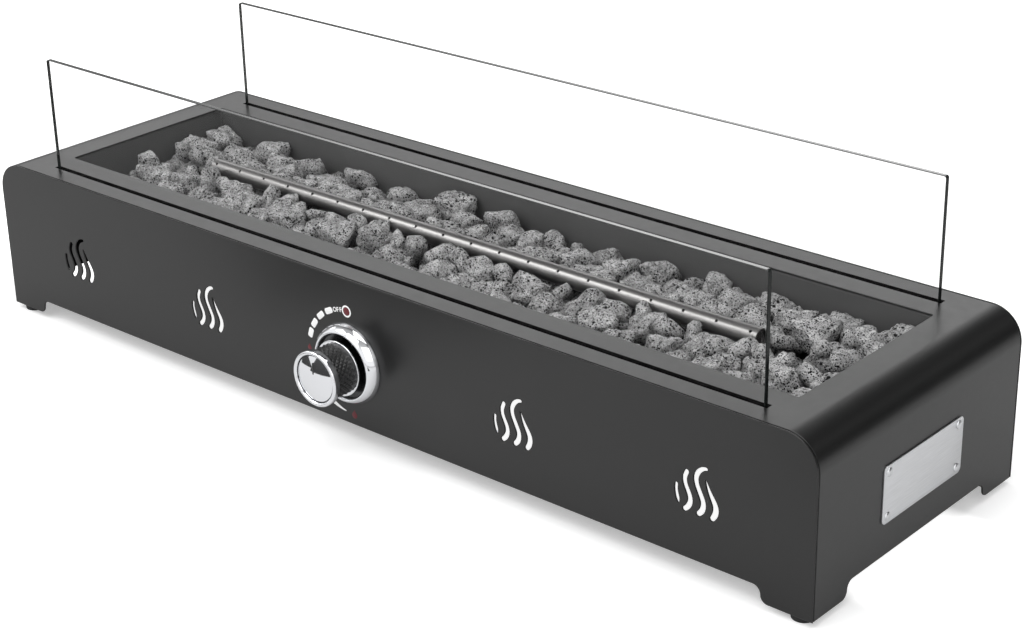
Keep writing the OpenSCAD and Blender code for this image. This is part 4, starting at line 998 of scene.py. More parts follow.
class FIREPIT_OT_knob(bpy.types.Operator):
    """Makes the knob: a chrome ring, a grip with a diamond knurl and a chrome cap"""

    bl_idname = "firepit.knob"
    bl_label = "Knob"

    def execute(self, context):
        self.ring()
        self.grip()
        self.cap()
        return {"FINISHED"}

    @staticmethod
    def ring():
        """The rear ring, with a round rim."""
        low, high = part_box("knob_ring")
        r, t = (high.x - low.x) / 2, high.y - low.y
        bore, round_edge = 16.5 * MM, 0.7 * MM
        profile = fillet([(bore, 0), (r, 0), (r, t), (bore, t)], round_edge)
        mesh = on_knob(ring_lathe(profile[:-1] + [(bore, t)], 128), "knob_ring", high.y)
        stand_in("finished_knob_ring", mesh, ["knob_ring"])

    @staticmethod
    def grip():
        """The grip, whose skin is a lattice of low pyramids that draws in to a waist."""
        low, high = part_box("knob_grip")
        r = (high.x - low.x) / 2
        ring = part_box("knob_ring")
        start = high.y - ring[0].y
        end = high.y - low.y
        around, depth = 2 * sizes().knurl_count, sizes().knurl_depth
        cell = 2 * math.pi * r / around
        rows = round((end - start) / cell)
        waist, hub = 0.5 * MM, 16.5 * MM
        bm = bmesh.new()
        lattice = []
        for b in range(rows + 1):
            t = b / rows
            skin = r - waist * math.sin(math.pi * t)
            row = []
            for a in range(around):
                sunk = (a + b) % 2 == 1 or b in (0, rows)
                reach = skin - (depth if sunk else 0)
                turn = 2 * math.pi * a / around
                row.append(bm.verts.new(polar(reach, turn, start + (end - start) * t)))
            lattice.append(row)
        for b in range(rows):
            for a in range(around):
                c = (a + 1) % around
                p, q, s, u = lattice[b][a], lattice[b][c], lattice[b + 1][c], lattice[b + 1][a]
                if (a + b) % 2 == 1:
                    bm.faces.new((p, q, s))
                    bm.faces.new((p, s, u))
                else:
                    bm.faces.new((p, q, u))
                    bm.faces.new((q, s, u))
        bm.faces.new(lattice[-1])
        turns = [2 * math.pi * a / around for a in range(around)]
        back = [bm.verts.new(polar(hub, turn, 0)) for turn in turns]
        rear = [bm.verts.new(polar(hub, turn, start)) for turn in turns]
        bridge(bm, [back, rear, lattice[0]])
        bm.faces.new(reversed(back))
        mesh = on_knob(bm, "knob_grip", high.y, 12)
        stand_in("finished_knob_grip", mesh, ["knob_grip"])

    @staticmethod
    def cap():
        """The cap: a rolled rim, a groove, a domed face and a black line to read the setting by."""
        low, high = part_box("knob_cap")
        r, t = (high.x - low.x) / 2, high.y - low.y
        crest, edge = t - 0.4 * MM, t - 2.1 * MM
        chamfer, roll, roll_steps = 0.5 * MM, 1.6 * MM, 12
        groove, groove_half, groove_floor = r - 3.6 * MM, 0.42 * MM, edge - 0.5 * MM
        profile = [(0, 0), (r - chamfer, 0), (r, chamfer)]
        for i in range(roll_steps + 1):
            a = math.pi * i / roll_steps
            profile.append((r - roll + roll * math.cos(a), crest - roll + roll * math.sin(a)))
        profile += [(groove + 0.35 * MM, groove_floor), (groove - 0.3 * MM, groove_floor)]
        dome, dome_steps = groove - 0.45 * MM, 16
        for i in range(dome_steps + 1):
            out = dome * (1 - i / dome_steps)
            profile.append((out, t - (t - edge) * (out / dome) ** 2))
        mesh = on_knob(lathe(profile, 128), "knob_cap", high.y, 40)
        stand_in("finished_knob_cap", mesh, ["knob_cap"], "chrome", "dark_chrome")
        # Painted shade: the outward faces of the groove take the darkened chrome
        x, z = knob_axis()
        for part in mesh.polygons:
            out = math.hypot(part.center.x - x, part.center.z - z)
            facing_out = part.center.y < high.y - 2 * MM
            part.material_index = int(abs(out - groove) < groove_half and facing_out)
        line_w, line_l, line_t, line_start, sunk = 1.5 * MM, 9.5 * MM, 1.6 * MM, 4 * MM, 0.9 * MM
        bar = rounded_outline(line_w / 2, line_l / 2, 0.7 * MM)
        outline = [(across, along + line_start + line_l / 2) for across, along in bar]
        mark = sheet("knob_line", [outline], line_t, 0.1 * MM)
        mark.transform(facing_front(x, low.y + sunk, z))
        smooth(mark)
        piece("knob_line", mark, BODY_OF["knob_cap"], "grip_plastic")


class FIREPIT_OT_dial(bpy.types.Operator):
    """Makes the marks printed on the panel round the knob"""

    bl_idname = "firepit.dial"
    bl_label = "Dial marks"

    def execute(self, context):
        r = sizes().print_radius
        ring, ring_bore, dot = 4.75 * MM, 3.4 * MM, 3.2 * MM
        dash_l, dash_w, band_w, band_end, letter_h = 8.4 * MM, 4.8 * MM, 5 * MM, 0.8 * MM, 5 * MM
        white = [self.blank(self.round_mark(r, ring), [self.round_mark(r, ring_bore)])]
        for angle in (26.7, 41.7, 56.7, 70.7):
            white.append(self.blank(self.dash(r, angle, dash_l, dash_w), []))
        white.append(self.blank(self.wedge(r, 100, 172, band_w, band_end), []))
        for letter, angle in zip("OFF", (17, 12.6, 8.4)):
            white.append(self.letter(letter, r, angle, letter_h))
        red = [self.blank(self.round_mark(r, dot), [])]
        for angle, tall in ((88, 5.5 * MM), (184, 7.5 * MM)):
            red.append(self.blank(self.flame(r, angle, tall), []))
        x, z = knob_axis()
        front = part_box("front_panel")[0].y
        for tone, meshes in (("white", white), ("red", red)):
            name, ink = "dial_marks_" + tone, tone + "_ink"
            bm = bmesh.new()
            for mesh in meshes:
                bm.from_mesh(mesh)
            made = to_mesh(bm, name)
            made.transform(facing_front(x, front, z))
            piece(name, made, BODY_OF["front_panel"], ink)
        return {"FINISHED"}

    @staticmethod
    def at(r, angle):
        """Where an angle, anticlockwise from the top, lies on the dial."""
        a = math.radians(angle)
        return Vector((-r * math.sin(a), r * math.cos(a)))

    @staticmethod
    def blank(outline, holes):
        """A thin film of ink."""
        return sheet("ink", [outline] + holes, 0.08 * MM, 0.01 * MM)

    def round_mark(self, r, radius):
        """A round dot at the top of the dial."""
        c = self.at(r, 0)
        return arc(c.x, c.y, radius, 0, 350, 35)

    def turned(self, points, r, angle):
        """Turns points about the dial, whose second value is their distance past the dial's radius."""
        a = math.radians(angle)
        c = self.at(r, angle)
        cos, sin = math.cos(a), math.sin(a)
        return [(c.x + x * cos - y * sin, c.y + x * sin + y * cos) for x, y in points]

    def dash(self, r, angle, long, wide):
        """A dash with round corners along the dial."""
        return self.turned(rounded_outline(long / 2, wide / 2, wide * 0.32, 5), r, angle)

    def wedge(self, r, start, end, wide, thin):
        """A band along the dial that narrows from its start to its end."""
        steps = 30
        outer, inner = [], []
        for i in range(steps + 1):
            t = i / steps
            half = (wide + (thin - wide) * t**3) / 2
            angle = start + (end - start) * t
            outer.append(tuple(self.at(r + half, angle)))
            inner.append(tuple(self.at(r - half, angle)))
        return outer + inner[::-1]

    def flame(self, r, angle, tall):
        """A plain drop shape."""
        c = self.at(r, angle)
        half = tall * 0.36
        tip = [(half * 0.25, tall * 0.3), (0, tall * 0.5), (-half * 0.45, tall * 0.22)]
        return arc(c.x, c.y - tall * 0.12, half, 160, 380, 20) + [(c.x + x, c.y + y) for x, y in tip]

    def letter(self, sign, r, angle, tall):
        """A letter on the dial, upright to it."""
        text = bpy.data.curves.new("letter", "FONT")
        text.body = sign
        text.size = tall
        text.align_x = "CENTER"
        text.align_y = "CENTER"
        text.extrude = 0.04 * MM
        text.offset = 0.12 * MM
        mesh = evaluated_mesh(linked("letter", text))
        c = self.at(r, angle)
        mesh.transform(Matrix.Translation((c.x, c.y, 0)) @ Matrix.Rotation(math.radians(angle), 4, "Z"))
        return mesh


# ---------- Feet, screws and nuts ----------


def nut_mesh(r, height, bore):
    """A hexagonal nut with chamfered corners and a bore."""
    bm = bmesh.new()
    flat = r * math.cos(math.pi / 6)
    rings = []
    segments, chamfer = 36, 0.12 * height
    # Radius, height, and whether the outline there is the hexagon or a circle
    levels = [(bore, 0.0, False), (flat, 0.0, False), (r, chamfer, True)]
    levels += [(r, height - chamfer, True), (flat, height, False), (bore, height, False)]
    for reach, h, six in levels:
        ring = []
        for i in range(segments):
            a = 2 * math.pi * i / segments
            part = (a % (math.pi / 3)) - math.pi / 6
            out = flat / math.cos(part) if six else reach
            ring.append(bm.verts.new(polar(out, a, h)))
        rings.append(ring)
    bridge(bm, rings + rings[:1])
    bmesh.ops.recalc_face_normals(bm, faces=bm.faces)
    return to_mesh(bm, "nut", 25)


def threaded(profile, r, start, end, pitch, depth, segments=24):
    """A bmesh of a stud: turned ends from a profile, and a helical thread between two heights."""
    bm = lathe(profile, segments)
    per_turn = 4
    rows = int((end - start) / pitch * per_turn)
    rings = []
    for k in range(rows + 1):
        ring = []
        for i in range(segments):
            a = 2 * math.pi * i / segments
            phase = (k / per_turn - i / segments) % 1
            out = r - depth * abs(2 * phase - 1)
            ring.append(bm.verts.new(polar(out, a, start + (end - start) * k / rows)))
        rings.append(ring)
    bridge(bm, rings)
    return bm


def screw_mesh(head_r, head_t, shank_r, total):
    """A screw that points along +Z from the top of its head, which has a cross recess."""
    point = 0.5 * MM
    profile = fillet([(0, 0), (head_r, 0), (head_r, head_t)], head_t * 0.45)
    profile += [(shank_r, head_t), (shank_r, total - point), (shank_r - point, total), (0, total)]
    holder = linked("screw", to_mesh(lathe(profile, 48), "screw", 30))
    cutter_mesh = bpy.data.meshes.new("cross")
    cut = bmesh.new()
    for turn in (0, math.pi / 2):
        grow = Matrix.Rotation(turn, 4, "Z") @ Matrix.Diagonal((1.1 * head_r, 0.3 * head_r, 0.8 * head_t, 1))
        bmesh.ops.create_cube(cut, size=1, matrix=grow)
    cut.to_mesh(cutter_mesh)
    cut.free()
    cutter = linked("cross", cutter_mesh)
    carve = holder.modifiers.new("recess", "BOOLEAN")
    carve.object = cutter
    carve.operation = "DIFFERENCE"
    carve.solver = "EXACT"
    carve.use_self = True
    cut_mesh = evaluated_mesh(holder)
    bpy.data.objects.remove(cutter)
    return cut_mesh


def upright(node):
    """Places for models that stand on the low end of each solid of a node, along Z."""
    return [(Vector(((a.x + b.x) / 2, (a.y + b.y) / 2, a.z)), (0, 0, 1)) for a, b in spots(node)]


class FIREPIT_OT_feet(bpy.types.Operator):
    """Makes the rubber feet with the screws and nuts that hold them"""

    bl_idname = "firepit.feet"
    bl_label = "Feet"

    def execute(self, context):
        low, high = spots("rubber_feet")[0]
        r, tall = (high.x - low.x) / 2, high.z - low.z
        recess, deep, bore, round_edge = 5 * MM, 3.6 * MM, 2 * MM, 1.6 * MM
        outside = [(recess, 0), (r - 0.2 * MM, 0), (r, 0.8 * MM), (r, tall), (bore, tall)]
        profile = fillet(outside, round_edge, 6) + [(bore, deep), (recess, deep)]
        model = to_mesh(ring_lathe(profile, 64), "foot")
        repeat(["rubber_feet"], model, upright("rubber_feet"))
        self.screws("foot_screws", 4 * MM, 2.4 * MM)
        self.screws("bracket_screws", 3.6 * MM, 2 * MM)
        for node, bore in (("foot_nuts", 2), ("pan_nuts", 2.5), ("channel_nuts", 2), ("bracket_nuts", 2)):
            a, b = spots(node)[0]
            model = nut_mesh((b.x - a.x) / 2, b.z - a.z, bore * MM)
            repeat([node], model, upright(node))
        chamfer, deep = 0.4 * MM, 0.3 * MM
        for node, pitch in (("pan_studs", 0.8 * MM), ("channel_studs", 0.7 * MM)):
            a, b = spots(node)[0]
            r, total = (b.x - a.x) / 2, b.z - a.z
            ends = [(0, 0), (r - chamfer, 0), (r - 0.1 * MM, chamfer)]
            model = to_mesh(threaded(ends, r, chamfer, total, pitch, deep), "stud", 60)
            repeat([node], model, upright(node))
        return {"FINISHED"}

    @staticmethod
    def screws(node, head_r, head_t):
        """Screws that stand on their heads."""
        low, high = spots(node)[0]
        model = screw_mesh(head_r, head_t, 2 * MM, high.z - low.z)
        repeat([node], model, upright(node))


class FIREPIT_OT_valve_screws(bpy.types.Operator):
    """Makes the screws that hold the valve and the bezel"""

    bl_idname = "firepit.valve_screws"
    bl_label = "Valve and bezel screws"

    def execute(self, context):
        for node in ("valve_screws", "bezel_screws"):
            places = spots(node)
            low, high = places[0]
            model = screw_mesh(3.5 * MM, 2.2 * MM, 2 * MM, high.y - low.y)
            at = [(Vector(((a.x + b.x) / 2, b.y, (a.z + b.z) / 2)), (0, -1, 0)) for a, b in places]
            repeat([node], model, at)
        return {"FINISHED"}


# ---------- Inner parts ----------

# Width of the broken edges of each part, in millimetres
INNER_EDGES = {
    "corner_brackets": 0.25,
    "glass_channel_front": 0.2,
    "glass_channel_rear": 0.2,
    "burner_brackets": 0.2,
    "burner_inlet": 0.3,
    "inlet_locknut": 0.4,
    "air_mixer": 0.4,
    "gas_orifice": 0.2,
    "feed_pipe": 0.1,
    "supply_pipe": 0.1,
    "pipe_nuts": 0.4,
    "valve_body": 0.4,
    "valve_stem": 0.2,
    "spring_seat": 0.2,
    "valve_plate": 0.3,
    "inlet_nut": 0.4,
}


class FIREPIT_OT_inner_parts(bpy.types.Operator):
    """Finishes the brackets, channels, valve and gas parts inside the casing"""

    bl_idname = "firepit.inner_parts"
    bl_label = "Inner parts"

    def execute(self, context):
        for node, edge in INNER_EDGES.items():
            # The glass channels take the dark coat of painted shade in the slots
            dressed(node, edge * MM, *(["slot_primer"] if "channel" in node else []))
        self.spring()
        return {"FINISHED"}

    @staticmethod
    def spring():
        """The return spring, which shortens against the valve's neck as the knob is pushed."""
        mesh = to_mesh(merged("return_spring"), "spring")
        spring = stand_in("finished_return_spring", mesh, ["return_spring"])
        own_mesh(spring)


class FIREPIT_OT_inlet(bpy.types.Operator):
    """Makes the flare fitting that the gas hose screws onto, with its thread"""

    bl_idname = "firepit.inlet"
    bl_label = "Gas inlet"

    def execute(self, context):
        low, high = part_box("inlet_fitting")
        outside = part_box("rear_panel")[1].y
        x, z = (low.x + high.x) / 2, (low.z + high.z) / 2
        r, inner, bore, hex_r = 7.94 * MM, 7 * MM, 3 * MM, 12 * MM
        hex_t, neck, thread, cone = 5 * MM, 1 * MM, 15 * MM, 4 * MM
        pitch, deep, chamfer = 1.6 * MM, 1 * MM, 0.5 * MM
        back = outside - low.y
        start = back + hex_t + neck
        tip = start + thread + cone
        ends = [(bore, 0), (inner - chamfer, 0), (inner, chamfer), (inner, back)]
        ends += [(r - deep, back), (r - deep, start)]
        bm = threaded(ends, r, start, tip - cone, pitch, deep, 48)
        front = [(r - deep, tip - cone), (bore + 0.6 * MM, tip), (bore, tip), (bore, 0)]
        for part in (lathe(front, 48), self.hexagon(hex_r, hex_t, back)):
            joined = bpy.data.meshes.new("part")
            part.to_mesh(joined)
            part.free()
            bm.from_mesh(joined)
        mesh = to_mesh(bm, "inlet_fitting", 30)
        mesh.transform(Matrix(((1, 0, 0, x), (0, 0, 1, low.y), (0, -1, 0, z), (0, 0, 0, 1))))
        stand_in("finished_inlet_fitting", mesh, ["inlet_fitting"])
        return {"FINISHED"}

    @staticmethod
    def hexagon(r, height, start):
        """The fitting's hexagon with chamfered corners."""
        mesh = nut_mesh(r, height, 6.8 * MM)
        bm = bmesh.new()
        bm.from_mesh(mesh)
        bmesh.ops.translate(bm, verts=bm.verts, vec=(0, 0, start))
        return bm


# ---------- Lava rock ----------


def stone_surface(direction, cuts, radii, centre, lumps):
    """Where the skin of a stone lies in a direction: a block split by planes, rounded, with lumps
    10 mm across, crumbs 3 mm across and pits 4 and 7.5 mm apart."""
    sharp = 18
    near = sum((max(direction.dot(way), 0.02) / reach) ** sharp for way, reach in cuts) ** (-1 / sharp)
    base = Vector([direction[k] * near * radii[k] for k in range(3)])
    at = centre + base
    rough = noise.fractal(at / (10 * MM), 0.9, 2.0, 4) * 1.7 * MM * lumps
    crumb = noise.noise(at / (3 * MM)) * 0.7 * MM * lumps
    pits = sum(max(0.0, 0.4 - noise.voronoi(at / (size * MM))[0][0]) * size for size in (4.2, 7.5))
    return at + direction * (rough + crumb - pits * 0.75 * MM * lumps)


def stone(bm, centre, radii, draw, detail, lumps=1.0):
    """Adds one stone to a bmesh, its shape drawn from a seeded generator. Returns its corners."""
    cuts, breaks = [], 10
    for _ in range(breaks):
        way = Vector((draw.gauss(0, 1), draw.gauss(0, 1), draw.gauss(0, 1))).normalized()
        cuts.append((way, draw.uniform(0.7, 1.0)))
    for way in ((1, 0, 0), (-1, 0, 0), (0, 1, 0), (0, -1, 0), (0, 0, 1), (0, 0, -1)):
        cuts.append((Vector(way), 1.0))
    ball = bmesh.ops.create_icosphere(bm, subdivisions=detail, radius=1)
    for vert in ball["verts"]:
        vert.co = stone_surface(vert.co.normalized(), cuts, radii, centre, lumps)
    return ball["verts"]


class FIREPIT_OT_rocks(bpy.types.Operator):
    """Makes the bed of lava rock: each packed stone with its own broken, pitted shape"""

    bl_idname = "firepit.rocks"
    bl_label = "Lava rock"

    def execute(self, context):
        draw = random.Random(sizes().stone_seed)
        detail = sizes().stone_detail - 0
        grow, proud = sizes().stone_grow, 0.6 * MM
        for node in ("lava_rock_1", "lava_rock_2", "lava_rock_3", "lava_rock_4", "lava_rock_5"):
            bm = bmesh.new()
            for low, high in spots(node):
                half = (high - low) / 2
                wide = Vector((half.x * draw.uniform(0.95, 1.12), half.y * draw.uniform(0.9, 1.06), 0)) * grow
                wide.z = min(half.z, draw.uniform(0.72, 0.95) * max(wide.x, wide.y))
                centre = (low + high) / 2
                centre.x -= self.slide(centre.x)
                centre.z = high.z + proud - wide.z
                stone(bm, centre, wide, draw, detail)
            self.keep_clear(bm)
            stand_in("finished_" + node, to_mesh(bm, node, 180), [node])
        self.chips(draw)
        return {"FINISHED"}

    @staticmethod
    def slide(x):
        """How far a stone near the left end of the bed has rolled towards the wall."""
        left, most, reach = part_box("lava_rock_1")[0].x, 11 * MM, 200 * MM
        return most * max(0.0, 1 - (x - left) / reach)

    @staticmethod
    def keep_clear(bm):
        """Keeps the stones off the burner, inside the pan's walls and on its floor."""
        low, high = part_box("burner_tube")
        r, gap = (high.y - low.y) / 2 + 0.6 * MM, 0.3 * MM
        axis_y, axis_z = (low.y + high.y) / 2, high.z - (high.y - low.y) / 2
        pan, mouth = middle("fire_pan"), face_outlines("fire_pan", 2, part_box("fire_pan")[1].z)[-1]
        half = [max(point[k] for point in mouth) - pan[k] - gap for k in range(2)]
        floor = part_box("lava_rock_1")[0].z
        for vert in bm.verts:
            for k in range(2):
                vert.co[k] = pan[k] + max(-half[k], min(half[k], vert.co[k] - pan[k]))
            vert.co.z = max(vert.co.z, floor + 0.05 * MM)
            away = Vector((vert.co.y - axis_y, vert.co.z - axis_z))
            if low.x - gap < vert.co.x < high.x + gap and 0 < away.length < r:
                away *= r / away.length
                vert.co.y, vert.co.z = axis_y + away.x, axis_z + away.y

    @staticmethod
    def spread(tree, master, bands, spacing, smallest, largest, seed):
        """Stones of one size range, spread over flat bands given as height, low Y and high Y."""
        low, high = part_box("lava_rock_1")[0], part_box("lava_rock_5")[1]
        x0, x1 = low.x - 6 * MM, high.x - 6 * MM
        corners, faces = [], []
        for z, a, b in bands:
            start = len(corners)
            corners += [(x0, a, z), (x1, a, z), (x1, b, z), (x0, b, z)]
            faces.append(range(start, start + 4))
        base = bpy.data.meshes.new("bed")
        base.from_pydata(corners, [], faces)
        values = {"Model": master, "Finish": finish("lava_rock"), "Spacing": spacing, "Seed": seed}
        return run_tree(tree, base, {**values, "Smallest": smallest, "Largest": largest})

    def chips(self, draw):
        """Small stones in the gaps, on two levels of the bed, and a row on each side of the burner."""
        low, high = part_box("lava_rock_1")[0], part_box("lava_rock_5")[1]
        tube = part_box("burner_tube")
        centre, axis_z = (tube[0].y + tube[1].y) / 2, (tube[0].z + tube[1].z) / 2
        y0, y1, aisle = low.y + 6 * MM, high.y - 6 * MM, 14 * MM
        lower, upper, row = low.z + 9 * MM, low.z + 21 * MM, axis_z - 5 * MM
        gaps = [(lower, y0, y1), (upper, y0, centre - aisle), (upper, centre + aisle, y1)]
        near, far = 13 * MM, 20 * MM
        beside = [(row, centre - far, centre - near), (row, centre + near, centre + far)]
        chip, coarse, shape = bmesh.new(), 2, Vector((1, 0.8, 0.75))
        stone(chip, Vector((0, 0, 0)), shape * sizes().chip_size, draw, coarse, 0.7)
        master = linked("chip", to_mesh(chip, "chip", 180))
        tree = repeat_tree("Stones spread over a bed", True)
        seed = sizes().stone_seed
        bm = bmesh.new()
        bm.from_mesh(self.spread(tree, master, gaps, sizes().chip_gap, 0.7, 1.25, seed))
        bm.from_mesh(self.spread(tree, master, beside, 1.25 * sizes().chip_gap, 1.1, 1.7, seed + 1))
        bpy.data.objects.remove(master)
        self.keep_clear(bm)
        mesh = to_mesh(bm, "lava_rock_chips", 180)
        piece("lava_rock_chips", mesh, BODY_OF["lava_rock_1"], "lava_rock")


# ---------- Floor, light and camera ----------

# The camera's place in metres, its angles in degrees and its lens in millimetres
CAMERA_AT = (1.0618, -1.13775, 0.7558)
CAMERA_TURN, CAMERA_RISE, CAMERA_ROLL = 41.53, 24.024, -1.226
CAMERA_LENS = 76.23
# Each lamp's name, place, aim, size in metres and power in watts
LAMPS = (
    ("key", (-0.1, -1.6, 2.0), (0, 0, 0.1), 1.6, 22),
    ("edge", (-1.2, -0.95, 1.5), (0, 0, 0.1), 0.8, 11),
    ("top", (0.3, 0.2, 2.2), (0, 0, 0.1), 1.6, 24),
    ("fill", (1.7, -0.9, 1.2), (0, 0, 0.05), 1.4, 7),
)
# Each black card's middle on the floor, its turn in degrees, its length and its width
CARDS = (
    ((-0.42, -0.45), 34, 0.5, 0.09),
    ((-0.3, -0.62), 56, 0.68, 0.14),
    ((0.5, -0.62), -50, 0.7, 0.1),
)


def lamp(name, at, target, size, power):
    """A soft white square lamp aimed at a point."""
    light = bpy.data.lights.new(name, "AREA")
    light.size = size
    light.energy = power
    made = linked(name, light)
    made.location = at
    made.rotation_euler = (Vector(target) - Vector(at)).to_track_quat("-Z", "Y").to_euler()


def seen_rays(tree):
    """1 for the rays that see the background: from the camera, also through glass, but not reflected."""
    path = add(tree, "ShaderNodeLightPath").outputs
    direct = {0: path["Is Camera Ray"], 1: path["Is Transmission Ray"]}
    either = add(tree, "ShaderNodeMath", direct, operation="MAXIMUM").outputs[0]
    turned = add(tree, "ShaderNodeMath", {0: path["Glossy Depth"], 1: path["Diffuse Depth"]}).outputs[0]
    straight = add(tree, "ShaderNodeMath", {0: turned, 1: 0.5}, operation="LESS_THAN").outputs[0]
    return add(tree, "ShaderNodeMath", {0: either, 1: straight}, operation="MULTIPLY").outputs[0]


class FIREPIT_OT_stage(bpy.types.Operator):
    """Sets the pale floor, the soft light and the camera"""

    bl_idname = "firepit.stage"
    bl_label = "Stage"

    def execute(self, context):
        self.floor()
        self.world()
        for one in LAMPS:
            lamp(*one)
        self.cards()
        self.camera()
        bpy.context.scene.view_settings.view_transform = "Standard"
        return {"FINISHED"}

    @staticmethod
    def floor():
        """A pale floor, seen near white with the shadow round the casing, and with painted light under the
        casing, where its shadow falls, so the vents show it bright.
        """
        bm = bmesh.new()
        bmesh.ops.create_grid(bm, x_segments=8, y_segments=8, size=6)
        made = linked("floor", to_mesh(bm, "floor"))
        material = bpy.data.materials.new("pale_floor")
        material.use_nodes = True
        tree = material.node_tree
        tree.nodes.clear()
        place = add(tree, "ShaderNodeTexCoord").outputs["Object"]
        apart = add(tree, "ShaderNodeSeparateXYZ", {"Vector": place}).outputs["Y"]
        inward = add(tree, "ShaderNodeMath", {0: apart}, operation="ABSOLUTE").outputs[0]
        # Painted light: the floor glows in a strip along the middle, where the casing's shadow falls, for the
        # vents to show, and glows more away from the casing, which fades the shadow there
        under = faded(tree, inward, 0.055, 0.095, 0.95, 0.0)
        reach = add(tree, "ShaderNodeVectorMath", {0: place}, operation="LENGTH").outputs["Value"]
        open_floor = faded(tree, reach, 0.4, 1.1, 0.4, 0.85)
        painted_glow = add(tree, "ShaderNodeMath", {0: under, 1: open_floor}, operation="MAXIMUM").outputs[0]
        pale = add(tree, "ShaderNodeBsdfDiffuse", {"Color": linear("#dedede")}).outputs[0]
        seen = add(tree, "ShaderNodeBsdfDiffuse", {"Color": linear("#e6e6e6")}).outputs[0]
        light = add(tree, "ShaderNodeEmission", {"Strength": painted_glow}).outputs[0]
        bright = add(tree, "ShaderNodeAddShader", {0: seen, 1: light}).outputs[0]
        mixed = add(tree, "ShaderNodeMixShader", {"Fac": seen_rays(tree), 1: pale, 2: bright}).outputs[0]
        add(tree, "ShaderNodeOutputMaterial", {"Surface": mixed})
        made.data.materials.append(material)

    @staticmethod
    def world():
        """A studio: pale in front, a bright band behind for what reflects it, and white where it is seen."""
        world = bpy.data.worlds.new("studio")
        bpy.context.scene.world = world
        world.use_nodes = True
        tree = world.node_tree
        tree.nodes.clear()
        way = add(tree, "ShaderNodeTexCoord").outputs["Generated"]
        parts = add(tree, "ShaderNodeSeparateXYZ", {"Vector": way}).outputs
        # The band that the top reflects: low behind the casing, and brightest to the left
        rising = faded(tree, parts["Z"], 0.21, 0.46, 0.25, 3.0)
        falling = faded(tree, parts["Z"], 0.46, 0.56, 1.0, 0.04)
        across = faded(tree, parts["X"], -0.38, 0.0, 1.0, 0.1)
        edge = add(tree, "ShaderNodeMath", {0: rising, 1: falling}, operation="MULTIPLY").outputs[0]
        band = add(tree, "ShaderNodeMath", {0: edge, 1: across}, operation="MULTIPLY").outputs[0]
        # The pale wall in front, which dims overhead
        front = faded(tree, parts["Z"], 0.5, 0.9, 1.1, 0.5)
        behind = faded(tree, parts["Y"], -0.15, 0.1, 0.0, 1.0)
        sides = {"Factor": behind, 2: front, 3: band}
        level = add(tree, "ShaderNodeMix", sides, data_type="FLOAT").outputs[0]
        glossy = add(tree, "ShaderNodeLightPath").outputs["Is Glossy Ray"]
        plain = add(tree, "ShaderNodeBackground", {"Color": linear("#ffffff"), "Strength": 0.4}).outputs[0]
        shone = add(tree, "ShaderNodeBackground", {"Color": linear("#ffffff"), "Strength": level}).outputs[0]
        white = add(tree, "ShaderNodeBackground", {"Color": linear("#ffffff"), "Strength": 1.0}).outputs[0]
        first = add(tree, "ShaderNodeMixShader", {"Fac": glossy, 1: plain, 2: shone}).outputs[0]
        mixed = add(tree, "ShaderNodeMixShader", {"Fac": seen_rays(tree), 1: first, 2: white}).outputs[0]
        add(tree, "ShaderNodeOutputWorld", {"Surface": mixed})

    @staticmethod
    def cards():
        """Black cards on the floor that only reflections show, as are laid round chrome in a studio."""
        material = bpy.data.materials.new("black_card")
        material.use_nodes = True
        shader = material.node_tree.nodes["Principled BSDF"]
        shader.inputs["Base Color"].default_value = linear("#1c1c1c")
        shader.inputs["Roughness"].default_value = 1.0
        for i, ((x, y), turn, long, wide) in enumerate(CARDS):
            bm = bmesh.new()
            bmesh.ops.create_grid(bm, x_segments=1, y_segments=1, size=0.5)
            way = Matrix.Rotation(math.radians(turn), 4, "Z") @ Matrix.Diagonal((long, wide, 1, 1))
            bmesh.ops.transform(bm, matrix=Matrix.Translation((x, y, 1.5 * MM)) @ way, verts=bm.verts)
            made = linked("card_%d" % (i + 1), to_mesh(bm, "card"))
            made.data.materials.append(material)
            made.visible_camera = False
            made.visible_diffuse = False
            made.visible_shadow = False
            made.visible_transmission = False

    @staticmethod
    def camera():
        """The view from the right and above, with a slight roll."""
        turn, rise, roll = (math.radians(a) for a in (CAMERA_TURN, CAMERA_RISE, CAMERA_ROLL))
        back = Vector((math.sin(turn) * math.cos(rise), -math.cos(turn) * math.cos(rise), math.sin(rise)))
        right = Vector((0, 0, 1)).cross(back).normalized()
        up = back.cross(right)
        rolled = right * math.cos(roll) + up * math.sin(roll)
        top = up * math.cos(roll) - right * math.sin(roll)
        lens = bpy.data.cameras.new("camera")
        lens.lens = CAMERA_LENS
        lens.sensor_width = 36
        lens.clip_end = 50
        made = linked("camera", lens)
        axes = Matrix((rolled, top, back)).transposed().to_4x4()
        made.matrix_world = Matrix.Translation(CAMERA_AT) @ axes
        bpy.context.scene.camera = made


# ---------- Panel and run ----------

OPERATORS = (
    FIREPIT_OT_panels,
    FIREPIT_OT_cover,
    FIREPIT_OT_plate,
    FIREPIT_OT_pan,
    FIREPIT_OT_glass,
    FIREPIT_OT_burner,
    FIREPIT_OT_bezel,
    FIREPIT_OT_knob,
    FIREPIT_OT_dial,
    FIREPIT_OT_feet,
    FIREPIT_OT_valve_screws,
    FIREPIT_OT_inner_parts,
    FIREPIT_OT_inlet,
    FIREPIT_OT_rocks,
    FIREPIT_OT_stage,
)


class FIREPIT_PT_panel(bpy.types.Panel):
    """Lists the steps that build the fire pit"""

    bl_idname = "FIREPIT_PT_panel"
    bl_label = "Fire Pit"
    bl_space_type = "VIEW_3D"
    bl_region_type = "UI"
    bl_category = "Fire Pit"

    def draw(self, context):
        for step in OPERATORS:
            self.layout.operator(step.bl_idname)


CLASSES = (FirePitSizes, FirePitColours) + OPERATORS + (FIREPIT_PT_panel,)


def register():
    """Registers the classes and their properties."""
    for one in CLASSES:
        bpy.utils.register_class(one)
    bpy.types.Scene.fire_pit_sizes = PointerProperty(type=FirePitSizes)
    bpy.types.Scene.fire_pit_colours = PointerProperty(type=FirePitColours)


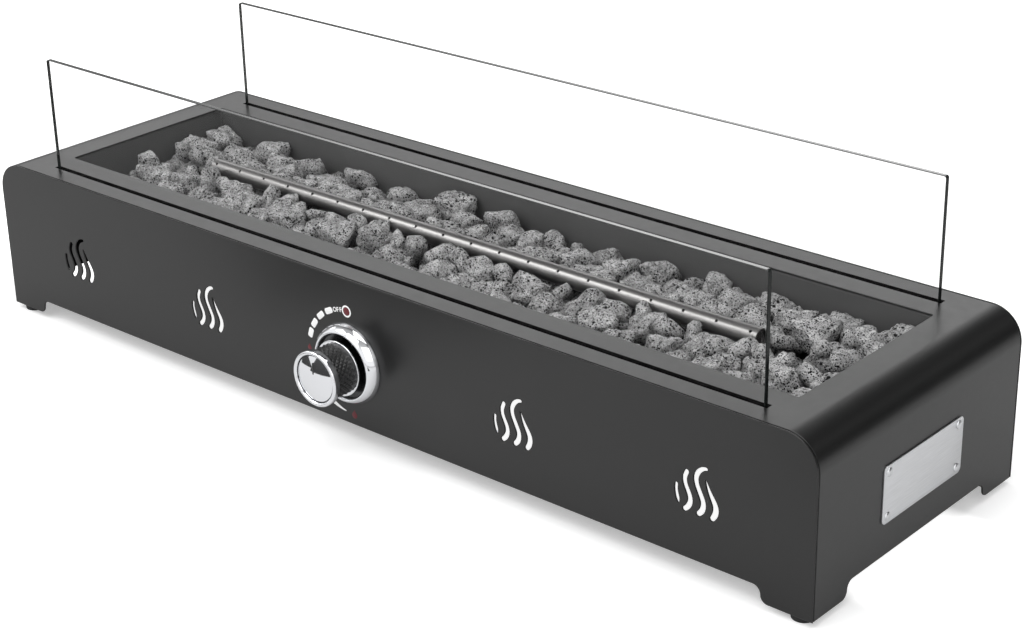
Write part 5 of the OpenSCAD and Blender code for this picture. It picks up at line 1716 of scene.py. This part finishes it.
def unregister():
    """Removes the classes and their properties."""
    del bpy.types.Scene.fire_pit_colours
    del bpy.types.Scene.fire_pit_sizes
    for one in reversed(CLASSES):
        bpy.utils.unregister_class(one)


def plain(box):
    """A box as plain lists of numbers."""
    return [[float(part) for part in corner] for corner in box]


def main():
    """Builds every piece and the stage."""
    register()
    for step in OPERATORS:
        getattr(bpy.ops.firepit, step.bl_idname.split(".")[1])()


if __name__ == "__main__":
    main()
